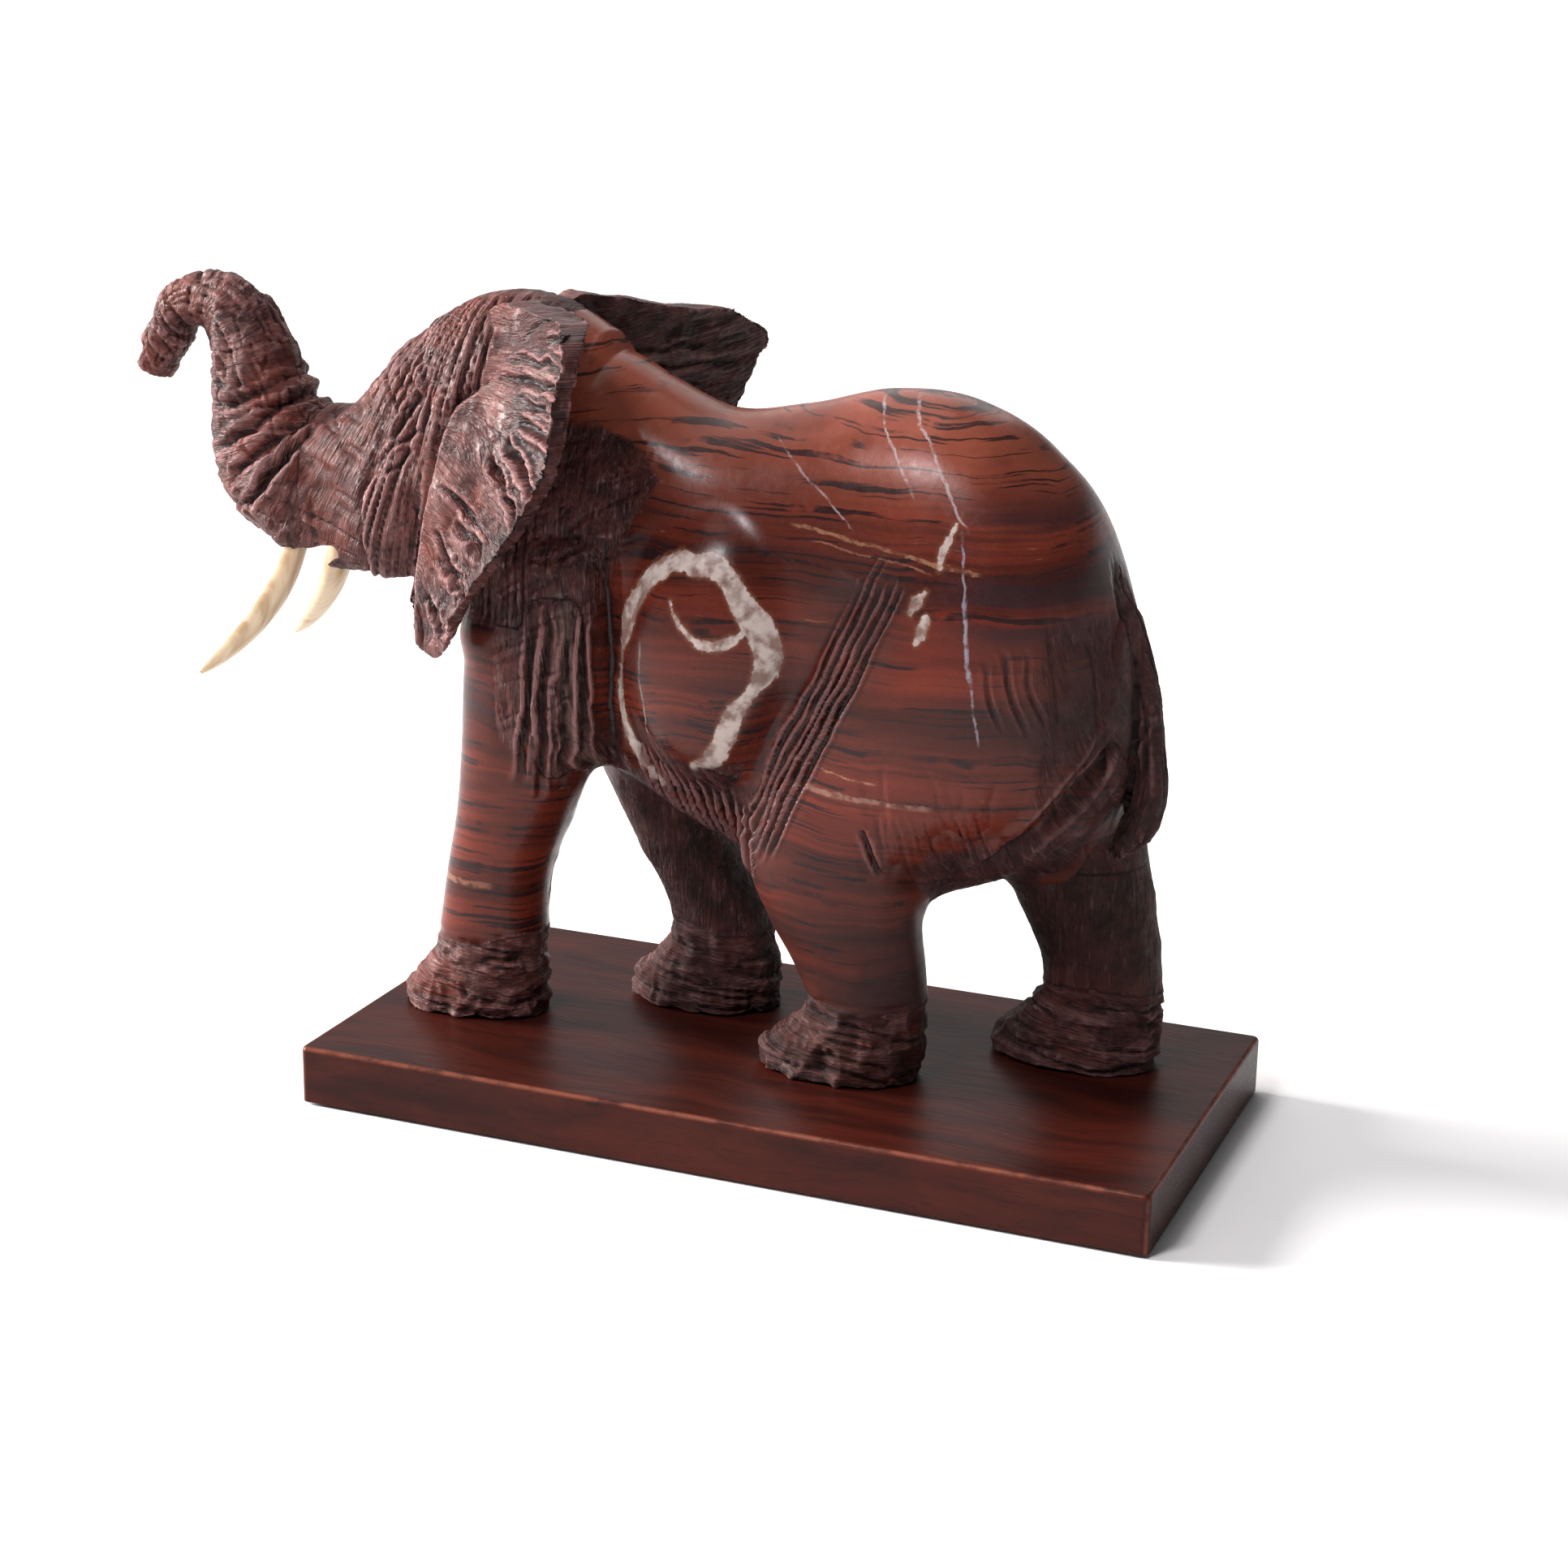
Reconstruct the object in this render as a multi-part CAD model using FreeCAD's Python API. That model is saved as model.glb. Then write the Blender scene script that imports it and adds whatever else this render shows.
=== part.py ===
import FreeCAD, Part
import math
import os

# Carved stone elephant on a wooden plinth, in millimetres, +Z up.
# Origin: centre of the underside. The elephant faces -X and its left side is towards -Y.

# Plinth and baize
PLINTH_LENGTH = 300.0
PLINTH_WIDTH = 148.0
PLINTH_THICKNESS = 20.0
PLINTH_EDGE_RADIUS = 1.6
PLINTH_CORNER_RADIUS = 2.5
FELT_THICKNESS = 1.0
FELT_MARGIN = 4.0
DECK = FELT_THICKNESS + PLINTH_THICKNESS

# M6 studs, washers and nuts that hold each foot down
STUD_DIAMETER = 6.0
STUD_IN_FOOT = 24.0
STUD_BOTTOM = 2.0
STUD_CLEARANCE_HOLE = 6.6
COUNTERBORE_DIAMETER = 16.0
COUNTERBORE_DEPTH = 9.0
WASHER_OUTER = 12.0
WASHER_BORE = 6.4
WASHER_THICKNESS = 1.6
NUT_ACROSS_FLATS = 10.0
NUT_HEIGHT = 5.0
NUT_SIDES = 6

# Length by which a piece runs into its neighbour so that the two fuse or cut cleanly
OVERLAP = 1.0
ROUND_ENOUGH = 1e-6

# The elephant's middle plane, a little behind the plinth's middle line
MID_Y = 8.0

# Torso sections: x, top, bottom (both above the plinth's top face) and half width
TORSO = [
    (-104.0, 196.0, 132.0, 20.0),
    (-98.0, 214.0, 112.0, 33.0),
    (-84.0, 233.0, 98.0, 40.0),
    (-60.0, 231.0, 86.0, 45.0),
    (-30.0, 218.0, 72.0, 50.0),
    (0.0, 223.0, 62.0, 49.0),
    (30.0, 229.0, 58.0, 48.0),
    (60.0, 226.0, 62.0, 49.0),
    (84.0, 212.0, 72.0, 46.0),
    (102.0, 190.0, 82.0, 37.0),
    (114.0, 162.0, 98.0, 22.0),
]

# Head sections from the neck to the face: x, top, bottom, half width
HEAD = [
    (-74.0, 232.0, 150.0, 24.0),
    (-88.0, 246.0, 140.0, 33.0),
    (-104.0, 252.0, 140.0, 37.0),
    (-120.0, 249.0, 146.0, 37.0),
    (-136.0, 239.0, 149.0, 34.0),
    (-152.0, 227.0, 149.0, 30.0),
    (-168.0, 210.0, 148.0, 25.0),
    (-182.0, 197.0, 150.0, 19.0),
]

# Trunk centre line and radius: x, height above the plinth, radius
TRUNK = [
    (-160.0, 187.0, 20.0),
    (-174.0, 183.0, 24.0),
    (-186.0, 181.5, 26.0),
    (-197.0, 187.0, 25.0),
    (-204.0, 198.0, 22.0),
    (-208.0, 212.0, 19.0),
    (-210.5, 224.0, 16.0),
    (-217.0, 236.0, 13.0),
    (-229.0, 241.0, 11.0),
    (-239.0, 237.0, 10.0),
    (-246.0, 228.0, 9.5),
    (-251.5, 217.0, 8.5),
]
TRUNK_WIDTH_RATIO = 1.06

# Leg sections: height, centre x, half length, centre y, half width
LEGS = {
    "left_fore": [
        (0.0, -115.0, 26.0, -10.0, 18.0),
        (8.0, -113.0, 26.0, -10.0, 18.5),
        (20.0, -109.0, 20.5, -10.0, 17.0),
        (32.0, -108.0, 19.0, -10.0, 16.5),
        (52.0, -104.5, 18.5, -11.0, 16.5),
        (75.0, -97.5, 21.0, -12.0, 18.5),
        (100.0, -92.0, 24.5, -12.0, 22.0),
        (130.0, -86.0, 29.0, -11.0, 26.0),
        (165.0, -80.0, 28.0, -7.0, 25.0),
    ],
    "right_fore": [
        (0.0, -43.0, 27.0, 29.0, 19.0),
        (9.0, -42.0, 28.0, 29.0, 19.0),
        (22.0, -36.0, 20.0, 29.0, 17.0),
        (34.0, -37.0, 18.0, 29.0, 16.5),
        (56.0, -49.0, 17.5, 29.0, 17.0),
        (80.0, -59.0, 20.0, 29.0, 19.0),
        (105.0, -65.0, 25.0, 28.0, 22.0),
        (130.0, -70.0, 29.0, 27.0, 25.0),
        (165.0, -72.0, 28.0, 23.0, 24.0),
    ],
    "left_hind": [
        (0.0, 25.0, 28.0, -14.0, 19.5),
        (9.0, 27.0, 28.0, -14.0, 19.5),
        (24.0, 34.5, 20.5, -14.0, 18.0),
        (36.0, 32.0, 22.0, -14.0, 18.0),
        (52.0, 26.0, 26.0, -14.0, 20.0),
        (74.0, 24.0, 33.0, -14.0, 24.0),
        (100.0, 38.0, 38.0, -13.0, 27.0),
        (130.0, 56.0, 40.0, -10.0, 29.0),
        (165.0, 64.0, 34.0, -6.0, 26.0),
    ],
    "right_hind": [
        (0.0, 95.0, 28.0, 30.0, 19.0),
        (9.0, 96.5, 28.0, 30.0, 19.0),
        (24.0, 103.0, 21.0, 30.0, 18.0),
        (38.0, 102.5, 21.5, 30.0, 18.0),
        (56.0, 97.5, 24.0, 30.0, 20.0),
        (76.0, 90.0, 28.0, 30.0, 23.0),
        (100.0, 80.0, 31.0, 29.0, 26.0),
        (130.0, 72.0, 33.0, 26.0, 28.0),
        (165.0, 66.0, 32.0, 22.0, 26.0),
    ],
}

# Foot bores, on the axis of each ankle
STUDS = [(-110.0, -10.0), (-38.0, 29.0), (33.0, -14.0), (101.0, 30.0)]

# Left ear sections: height, front x and y, rear x and y, half thickness
EAR = [
    (133.0, -125.0, -37.0, -117.0, -43.0, 2.2),
    (146.0, -126.0, -33.0, -106.0, -49.0, 3.5),
    (161.0, -125.0, -29.0, -90.0, -55.0, 4.0),
    (180.0, -120.0, -23.0, -71.0, -62.0, 4.5),
    (205.0, -113.0, -16.0, -54.0, -66.0, 4.5),
    (226.0, -107.0, -12.0, -48.0, -69.0, 4.5),
    (243.0, -101.0, -8.0, -45.0, -70.0, 4.0),
    (254.0, -90.0, -18.0, -56.0, -58.0, 2.5),
]
RIGHT_EAR_DROP = 6.0

# Tail centre line: x, height, radius
TAIL = [
    (106.0, 168.0, 6.0),
    (114.0, 150.0, 7.0),
    (119.0, 132.0, 7.0),
    (122.0, 114.0, 6.5),
    (121.0, 98.0, 7.0),
    (114.0, 83.0, 3.5),
]

TAIL_WIDTH_RATIO = 1.1

# Tusk centre line: x, distance from the middle plane, height, radius
TUSK = [
    (-185.0, 15.0, 164.0, 4.2),
    (-188.5, 16.5, 153.0, 4.7),
    (-195.0, 20.0, 139.5, 5.1),
    (-203.5, 24.5, 127.5, 4.4),
    (-212.5, 28.0, 118.0, 2.8),
    (-218.0, 30.0, 113.0, 0.9),
]
TUSK_WIDTH_RATIO = 1.05
TUSK_TENON_RADIUS = 2.6
TUSK_TENON_LENGTH = 12.0
TUSK_TENON_GAP = 0.5

# The right tusk sits a little higher and further back than a mirror image would
RIGHT_TUSK_RISE = 2.5
RIGHT_TUSK_SETBACK = 3.0


def ellipse_wire(center, long_axis, short_axis, long_radius, short_radius):
    """Closed ellipse about center, in the plane of its two given axes."""
    long_axis = FreeCAD.Vector(long_axis)
    short_axis = FreeCAD.Vector(short_axis)
    if short_radius > long_radius:
        long_axis, short_axis = short_axis, long_axis
        long_radius, short_radius = short_radius, long_radius
    tip = center + long_axis.normalize() * long_radius
    side = center + short_axis.normalize() * short_radius
    if abs(long_radius - short_radius) < ROUND_ENOUGH:
        normal = long_axis.cross(short_axis)
        curve = Part.Circle(center, normal, long_radius)
    else:
        curve = Part.Ellipse(tip, side, center)
    return Part.Wire([curve.toShape()])


def vertical_oval(x, top, bottom, half_width):
    """Oval section of the torso or head, in a plane across the elephant."""
    center = FreeCAD.Vector(x, MID_Y, DECK + (top + bottom) / 2.0)
    up = FreeCAD.Vector(0, 0, 1)
    across = FreeCAD.Vector(0, 1, 0)
    return ellipse_wire(center, up, across, (top - bottom) / 2.0, half_width)


def leg(sections):
    """Leg and foot lofted through flat ovals, standing on the plinth."""
    along = FreeCAD.Vector(1, 0, 0)
    across = FreeCAD.Vector(0, 1, 0)
    wires = []
    for height, x, half_length, y, half_width in sections:
        center = FreeCAD.Vector(x, y, DECK + height)
        wires.append(ellipse_wire(center, along, across, half_length, half_width))
    return Part.makeLoft(wires, True, False)


def tube(points, radii, width_ratio):
    """Tapering bar of oval section lofted along a line of centres."""
    wires = []
    last = len(points) - 1
    for index, point in enumerate(points):
        ahead = points[min(index + 1, last)]
        behind = points[max(index - 1, 0)]
        direction = (ahead - behind).normalize()
        side = FreeCAD.Vector(0, 1, 0)
        depth = direction.cross(side).normalize()
        across = depth.cross(direction)
        radius = radii[index]
        wires.append(ellipse_wire(point, across, depth, radius * width_ratio, radius))
    return Part.makeLoft(wires, True, False)


def right_ear():
    """Ear plate lofted through flat ovals, the left ear's sections mirrored in the middle plane."""
    wires = []
    for height, front_x, front_y, rear_x, rear_y, half_thickness in EAR:
        front = FreeCAD.Vector(front_x, 2.0 * MID_Y - front_y, DECK + height)
        rear = FreeCAD.Vector(rear_x, 2.0 * MID_Y - rear_y, DECK + height)
        chord = rear - front
        normal = FreeCAD.Vector(-chord.y, chord.x, 0)
        center = (front + rear) * 0.5
        wires.append(ellipse_wire(center, chord, normal, chord.Length / 2.0, half_thickness))
    return Part.makeLoft(wires, True, False)


def left_ear():
    """The right ear mirrored in the elephant's middle plane."""
    return right_ear().mirror(FreeCAD.Vector(0, MID_Y, 0), FreeCAD.Vector(0, 1, 0))


def tusk_points(side):
    """Centre line of one tusk, from its shoulder to its tip."""
    shift = FreeCAD.Vector(0, 0, 0)
    if side > 0:
        shift = FreeCAD.Vector(RIGHT_TUSK_SETBACK, 0, RIGHT_TUSK_RISE)
    points = []
    for x, offset, height, radius in TUSK:
        points.append(FreeCAD.Vector(x, MID_Y + side * offset, DECK + height) + shift)
    return points


def tusk_axis(side):
    """Direction of the tenon, pointing up into the head."""
    points = tusk_points(side)
    return (points[0] - points[1]).normalize()


def tusk(side):
    """Curved tusk with a round tenon on its root."""
    points = tusk_points(side)
    body = tube(points, [row[3] for row in TUSK], TUSK_WIDTH_RATIO)
    axis = tusk_axis(side)
    start = points[0] - axis * OVERLAP
    tenon = Part.makeCylinder(TUSK_TENON_RADIUS, TUSK_TENON_LENGTH + OVERLAP, start, axis)
    return body.fuse(tenon).removeSplitter()


def tusk_socket(side):
    """Stepped space in the head for the tusk's root and tenon."""
    points = tusk_points(side)
    axis = tusk_axis(side)
    body = tube(points, [row[3] for row in TUSK], TUSK_WIDTH_RATIO)
    bore = Part.makeCylinder(TUSK_TENON_RADIUS, TUSK_TENON_LENGTH + TUSK_TENON_GAP, points[0], axis)
    return body.fuse(bore)


def elephant_carving():
    """Body, legs, head, trunk, ears and tail as one block of stone."""
    torso = Part.makeLoft([vertical_oval(*row) for row in TORSO], True, False)
    head = Part.makeLoft([vertical_oval(*row) for row in HEAD], True, False)
    trunk_line = [FreeCAD.Vector(x, MID_Y, DECK + height) for x, height, radius in TRUNK]
    trunk = tube(trunk_line, [row[2] for row in TRUNK], TRUNK_WIDTH_RATIO)
    tail_line = [FreeCAD.Vector(x, MID_Y, DECK + height) for x, height, radius in TAIL]
    tail = tube(tail_line, [row[2] for row in TAIL], TAIL_WIDTH_RATIO)
    lower_ear = right_ear()
    lower_ear.translate(FreeCAD.Vector(0, 0, -RIGHT_EAR_DROP))
    parts = [head, trunk, tail, left_ear(), lower_ear]
    parts += [leg(sections) for sections in LEGS.values()]
    stone = torso
    for piece in parts:
        stone = stone.fuse(piece)
    for side in (-1, 1):
        stone = stone.cut(tusk_socket(side))
    for x, y in STUDS:
        bottom = FreeCAD.Vector(x, y, DECK - OVERLAP)
        stone = stone.cut(Part.makeCylinder(STUD_DIAMETER / 2.0, STUD_IN_FOOT + OVERLAP, bottom))
    return stone


def plinth():
    """Wooden base with eased edges, stud holes and counterbores from below."""
    corner = FreeCAD.Vector(-PLINTH_LENGTH / 2.0, -PLINTH_WIDTH / 2.0, FELT_THICKNESS)
    block = Part.makeBox(PLINTH_LENGTH, PLINTH_WIDTH, PLINTH_THICKNESS, corner)
    upright = [e for e in block.Edges if abs(e.tangentAt(e.FirstParameter).z) > 0.9]
    block = block.makeFillet(PLINTH_CORNER_RADIUS, upright)
    rim = [e for e in block.Edges if min(v.Z for v in e.Vertexes) > DECK - 0.01]
    block = block.makeFillet(PLINTH_EDGE_RADIUS, rim)
    for x, y in STUDS:
        foot = FreeCAD.Vector(x, y, FELT_THICKNESS)
        block = block.cut(Part.makeCylinder(STUD_CLEARANCE_HOLE / 2.0, PLINTH_THICKNESS, foot))
        block = block.cut(Part.makeCylinder(COUNTERBORE_DIAMETER / 2.0, COUNTERBORE_DEPTH, foot))
    return block


def base_felt():
    """Baize sheet glued under the plinth, covering the counterbores."""
    length = PLINTH_LENGTH - 2.0 * FELT_MARGIN
    width = PLINTH_WIDTH - 2.0 * FELT_MARGIN
    return Part.makeBox(length, width, FELT_THICKNESS, FreeCAD.Vector(-length / 2.0, -width / 2.0, 0))


def foot_studs():
    """One stud for each foot, from the counterbore up into the stone."""
    height = DECK + STUD_IN_FOOT - STUD_BOTTOM
    studs = []
    for x, y in STUDS:
        studs.append(Part.makeCylinder(STUD_DIAMETER / 2.0, height, FreeCAD.Vector(x, y, STUD_BOTTOM)))
    return Part.makeCompound(studs)


def stud_washers():
    """Flat washer against the roof of each counterbore."""
    z = FELT_THICKNESS + COUNTERBORE_DEPTH - WASHER_THICKNESS
    washers = []
    for x, y in STUDS:
        foot = FreeCAD.Vector(x, y, z)
        disc = Part.makeCylinder(WASHER_OUTER / 2.0, WASHER_THICKNESS, foot)
        washers.append(disc.cut(Part.makeCylinder(WASHER_BORE / 2.0, WASHER_THICKNESS, foot)))
    return Part.makeCompound(washers)


def stud_nuts():
    """Hexagon nut under each washer."""
    z = FELT_THICKNESS + COUNTERBORE_DEPTH - WASHER_THICKNESS - NUT_HEIGHT
    side_angle = 2.0 * math.pi / NUT_SIDES
    corner_radius = NUT_ACROSS_FLATS / 2.0 / math.cos(side_angle / 2.0)
    nuts = []
    for x, y in STUDS:
        corners = []
        for step in range(NUT_SIDES + 1):
            angle = side_angle * step
            corner = FreeCAD.Vector(math.cos(angle), math.sin(angle), 0) * corner_radius
            corners.append(FreeCAD.Vector(x, y, z) + corner)
        hexagon = Part.Face(Part.makePolygon(corners)).extrude(FreeCAD.Vector(0, 0, NUT_HEIGHT))
        bore = Part.makeCylinder(STUD_DIAMETER / 2.0, NUT_HEIGHT, FreeCAD.Vector(x, y, z))
        nuts.append(hexagon.cut(bore))
    return Part.makeCompound(nuts)


def main():
    os.makedirs("parts", exist_ok=True)
    nodes = {
        "elephant_carving": elephant_carving(),
        "left_tusk": tusk(-1),
        "right_tusk": tusk(1),
        "plinth": plinth(),
        "foot_studs": foot_studs(),
        "stud_washers": stud_washers(),
        "stud_nuts": stud_nuts(),
        "base_felt": base_felt(),
    }
    for name, shape in nodes.items():
        shape.exportStep("parts/" + name + ".step")
        box = shape.optimalBoundingBox()
        low = (round(box.XMin, 1), round(box.YMin, 1), round(box.ZMin, 1))
        high = (round(box.XMax, 1), round(box.YMax, 1), round(box.ZMax, 1))
        print(name, "solids", len(shape.Solids), "valid", shape.isValid(), "from", low, "to", high)


main()
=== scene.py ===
"""Carved red-stone elephant on a mahogany plinth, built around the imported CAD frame.

The stone is sculpted here: solid forms are blended in a distance field, turned into one closed
mesh, and carved with folds, ridges and grooves. Sizes are millimetres above and about the centre
of the plinth's top face, taken from the frame, until build_carving() turns them into metres.
"""
import math
import bpy
import numpy as np
import openvdb
from mathutils import Matrix, Vector


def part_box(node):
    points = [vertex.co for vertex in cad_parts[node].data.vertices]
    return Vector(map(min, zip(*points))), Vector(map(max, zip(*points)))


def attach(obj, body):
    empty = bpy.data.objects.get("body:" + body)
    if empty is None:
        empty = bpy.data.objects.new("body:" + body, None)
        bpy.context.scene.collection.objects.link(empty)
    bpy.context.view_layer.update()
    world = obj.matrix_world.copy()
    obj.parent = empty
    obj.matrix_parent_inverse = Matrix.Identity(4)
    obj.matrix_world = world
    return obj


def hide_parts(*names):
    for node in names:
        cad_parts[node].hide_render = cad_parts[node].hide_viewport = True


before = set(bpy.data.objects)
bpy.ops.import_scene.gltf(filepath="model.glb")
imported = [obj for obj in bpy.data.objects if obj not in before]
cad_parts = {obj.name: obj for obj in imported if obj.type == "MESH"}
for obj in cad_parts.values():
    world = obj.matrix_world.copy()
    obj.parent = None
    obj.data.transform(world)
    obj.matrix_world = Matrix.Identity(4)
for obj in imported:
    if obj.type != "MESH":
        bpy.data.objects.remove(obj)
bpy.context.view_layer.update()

MM = 0.001
PLINTH_LOW, PLINTH_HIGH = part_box("plinth")
DECK_CENTER = (
    (PLINTH_LOW[0] + PLINTH_HIGH[0]) / 2.0,
    (PLINTH_LOW[1] + PLINTH_HIGH[1]) / 2.0,
    PLINTH_HIGH[2],
)
MID_Y = 8.0
VOXEL = 1.7
LEFT, RIGHT = -1.0, 1.0

# ---------------------------------------------------------------- noise and small helpers

LATTICE = 48
NOISE_TABLE = np.random.default_rng(11).uniform(-1.0, 1.0, (LATTICE, LATTICE, LATTICE)).astype(np.float32)


def noise(x, y, z, seed):
    """Smooth value noise between -1 and 1, one cell per unit; each seed shifts it. z may be None."""
    z = np.zeros_like(x) if z is None else z
    cells, fades = [], []
    for value, shift in ((x, 3.7), (y, 7.1), (z, 5.3)):
        value = value + shift * seed
        base = np.floor(value)
        part = value - base
        cells.append(base.astype(np.int32) % LATTICE)
        fades.append(part * part * (3.0 - 2.0 * part))
    (i, j, k), (u, v, w) = cells, fades
    i1, j1, k1 = (i + 1) % LATTICE, (j + 1) % LATTICE, (k + 1) % LATTICE
    t = NOISE_TABLE
    layers = []
    for level in (k, k1):
        front = t[i, j, level] * (1 - u) + t[i1, j, level] * u
        rear = t[i, j1, level] * (1 - u) + t[i1, j1, level] * u
        layers.append(front * (1 - v) + rear * v)
    return layers[0] * (1 - w) + layers[1] * w


def creases(x, y, z, seed):
    """Noise folded into sharp creases (1) between rounded ridges (0)."""
    return 1.0 - np.minimum(np.abs(noise(x, y, z, seed)) * 2.4, 1.0)


def ramp(value, low, high):
    """Smooth step from 0 at low to 1 at high; high may be the smaller."""
    t = np.clip((value - low) / (high - low), 0.0, 1.0)
    return t * t * (3.0 - 2.0 * t)


def smooth_min(a, b, blend):
    """Union of two distances with a fillet about blend wide."""
    h = np.maximum(blend - np.abs(a - b), 0.0) / blend
    return np.minimum(a, b) - h * h * blend * 0.25


def smooth_max(a, b, blend):
    """Intersection of two distances with a rounded edge."""
    return -smooth_min(-a, -b, blend)


def along_piece(a, b, start, end):
    """Distance in a plane to a straight piece, and how far along it, 0 to 1, its nearest point is."""
    da, db = end[0] - start[0], end[1] - start[1]
    share = np.clip(((a - start[0]) * da + (b - start[1]) * db) / (da * da + db * db + 1e-9), 0.0, 1.0)
    return np.hypot(a - start[0] - da * share, b - start[1] - db * share), share


class Curves:
    """Columns of a table interpolated smoothly along its first column."""

    def __init__(self, rows, samples=300):
        table = np.array(rows, dtype=np.float64)
        if table[0, 0] > table[-1, 0]:
            table = table[::-1]
        knots = table[:, 0]
        slopes = np.gradient(table[:, 1:], knots, axis=0)
        self.start, self.end = knots[0], knots[-1]
        self.at = np.linspace(self.start, self.end, samples)
        index = np.clip(np.searchsorted(knots, self.at, side="right") - 1, 0, len(knots) - 2)
        step = (knots[index + 1] - knots[index])[:, None]
        t = (self.at - knots[index])[:, None] / step
        first, second = table[index, 1:], table[index + 1, 1:]
        self.columns = (
            first * (1 + 2 * t) * (1 - t) ** 2
            + slopes[index] * step * t * (1 - t) ** 2
            + second * t * t * (3 - 2 * t)
            + slopes[index + 1] * step * t * t * (t - 1)
        )

    def __call__(self, value):
        return [np.interp(value, self.at, column).astype(np.float32) for column in self.columns.T]


def smooth_path(points, steps=6):
    """Catmull-Rom points along a given line, with any number of columns."""
    p = np.array(points, dtype=np.float64)
    padded = np.vstack([2 * p[0] - p[1], p, 2 * p[-1] - p[-2]])
    out = []
    for i in range(len(p) - 1):
        a, b, c, d = padded[i:i + 4]
        for t in np.linspace(0.0, 1.0, steps, endpoint=False):
            out.append(0.5 * (2 * b + (c - a) * t + (2 * a - 5 * b + 4 * c - d) * t ** 2
                              + (3 * b - a - 3 * c + d) * t ** 3))
    out.append(p[-1])
    return np.array(out)


# ---------------------------------------------------------------- solid forms of the elephant

# x, top, bottom, half width
TORSO = Curves([
    (-100, 212, 114, 32), (-84, 233, 100, 38), (-68, 234, 92, 39), (-50, 226, 83, 37), (-30, 218, 73, 39),
    (0, 221, 64, 40), (30, 228, 59, 41), (58, 226, 62, 43), (82, 213, 72, 42), (102, 189, 84, 34),
    (112, 164, 98, 22),
])
HEAD = Curves([
    (-72, 241, 148, 22), (-88, 249.5, 136, 29), (-104, 252, 134, 33), (-120, 249, 136, 32),
    (-136, 240, 138, 29), (-150, 228.5, 138, 27), (-160, 217, 140, 25.5), (-166.5, 209, 143, 24.5),
    (-172, 202, 146, 23),
])
JAW_HEIGHT = 153.0
# x, height, radius
TRUNK_LINE = [
    (-160, 189, 20), (-174, 184, 24.5), (-186, 181.5, 26.5), (-196, 185, 26), (-203, 196, 22.8),
    (-207, 209, 19.3), (-209.5, 221, 16.8), (-213.5, 231.5, 14.4), (-220, 239, 12.2), (-230, 241, 10.8),
    (-238.5, 237.5, 10.0), (-245, 229, 9.5), (-251.5, 216.5, 8.4),
]
TAIL_LINE = [
    (100, 172, 6.0), (110, 158, 6.5), (117, 140, 6.0), (121, 122, 5.6), (122.5, 105, 6.2), (119, 92, 6.6),
    (113, 82, 3.6),
]
# height, centre x, half length, centre y, half width
LEFT_FORELEG = Curves([
    (0, -115, 26.5, -10, 18.5), (7, -114, 26.5, -10, 18.5), (15, -111, 23, -10, 17.5),
    (24, -108.5, 20, -10, 16.5), (34, -107.5, 19, -10, 16.5), (52, -104.5, 18.5, -11, 17),
    (75, -97.5, 20.5, -12, 19), (100, -91, 24, -12.5, 22), (130, -85, 28.5, -11, 26),
    (165, -80, 28, -8, 26),
])
RIGHT_FORELEG = Curves([
    (0, -43, 28, 29, 19.5), (8, -42, 28, 29, 19.5), (16, -39, 24, 29, 18), (25, -36, 19.5, 29, 17),
    (36, -37.5, 18, 29, 16.5), (56, -49, 17.5, 29, 17.5), (80, -59, 20, 29, 19.5), (105, -65, 25, 28, 22),
    (130, -70, 28, 27, 25), (165, -74, 28, 23, 26),
])
LEFT_HINDLEG = Curves([
    (0, 25, 28.5, -14, 20), (8, 26, 28.5, -14, 20), (16, 31, 24, -14, 18.5), (25, 34.5, 20.5, -14, 18),
    (37, 32, 22, -14, 18.5), (54, 26, 26, -14, 21), (74, 24, 32, -13, 24.5), (100, 38, 37, -11, 27),
    (130, 55, 38, -8, 29), (160, 62, 34, -4, 27),
])
RIGHT_HINDLEG = Curves([
    (0, 95, 29, 30, 19.5), (8, 96, 29, 30, 19.5), (16, 100, 25, 30, 18.5), (25, 103.5, 21.5, 30, 18),
    (38, 102.5, 21, 30, 18), (56, 97, 23.5, 30, 20), (76, 89, 27, 30, 23), (100, 80, 31, 29, 26),
    (130, 72, 33, 26, 28), (160, 66, 32, 21, 27),
])
# height, front x, front y, rear x, rear y of the left ear
EAR_TABLE = Curves([
    (130, -121, -39, -117, -43), (136, -122, -38, -111, -46), (141, -122, -36, -105, -49),
    (150, -122.5, -33, -98, -52), (163, -122.5, -29.5, -86, -56), (180, -120.5, -25, -70, -62),
    (205, -115, -20, -53, -66), (226, -106, -14, -48, -69), (243, -100, -9, -44.5, -70),
    (256, -91, -8, -50, -64),
])
EAR_LOW, EAR_HIGH = 131.0, 256.0
EAR_HALF_THICKNESS = 3.6
RIGHT_EAR_DROP = 6.0


def oval_along_x(x, y, z, curves, cap_front, cap_rear, power=2.2):
    """Distance to a body of oval sections across X, with rounded ends."""
    along = np.clip(x, curves.start, curves.end)
    top, bottom, half_width = curves(along)
    dz = z - (top + bottom) * 0.5
    dy = y - MID_Y
    over_front = np.maximum(curves.start - x, 0.0) / cap_front
    over_rear = np.maximum(x - curves.end, 0.0) / cap_rear
    shrink = np.sqrt(np.maximum(1.0 - over_front ** 2 - over_rear ** 2, 0.02))
    return oval_distance(dy, dz, half_width * shrink, (top - bottom) * 0.5 * shrink, power) \
        + np.maximum(over_front - 1.0, 0.0) * cap_front + np.maximum(over_rear - 1.0, 0.0) * cap_rear


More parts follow.
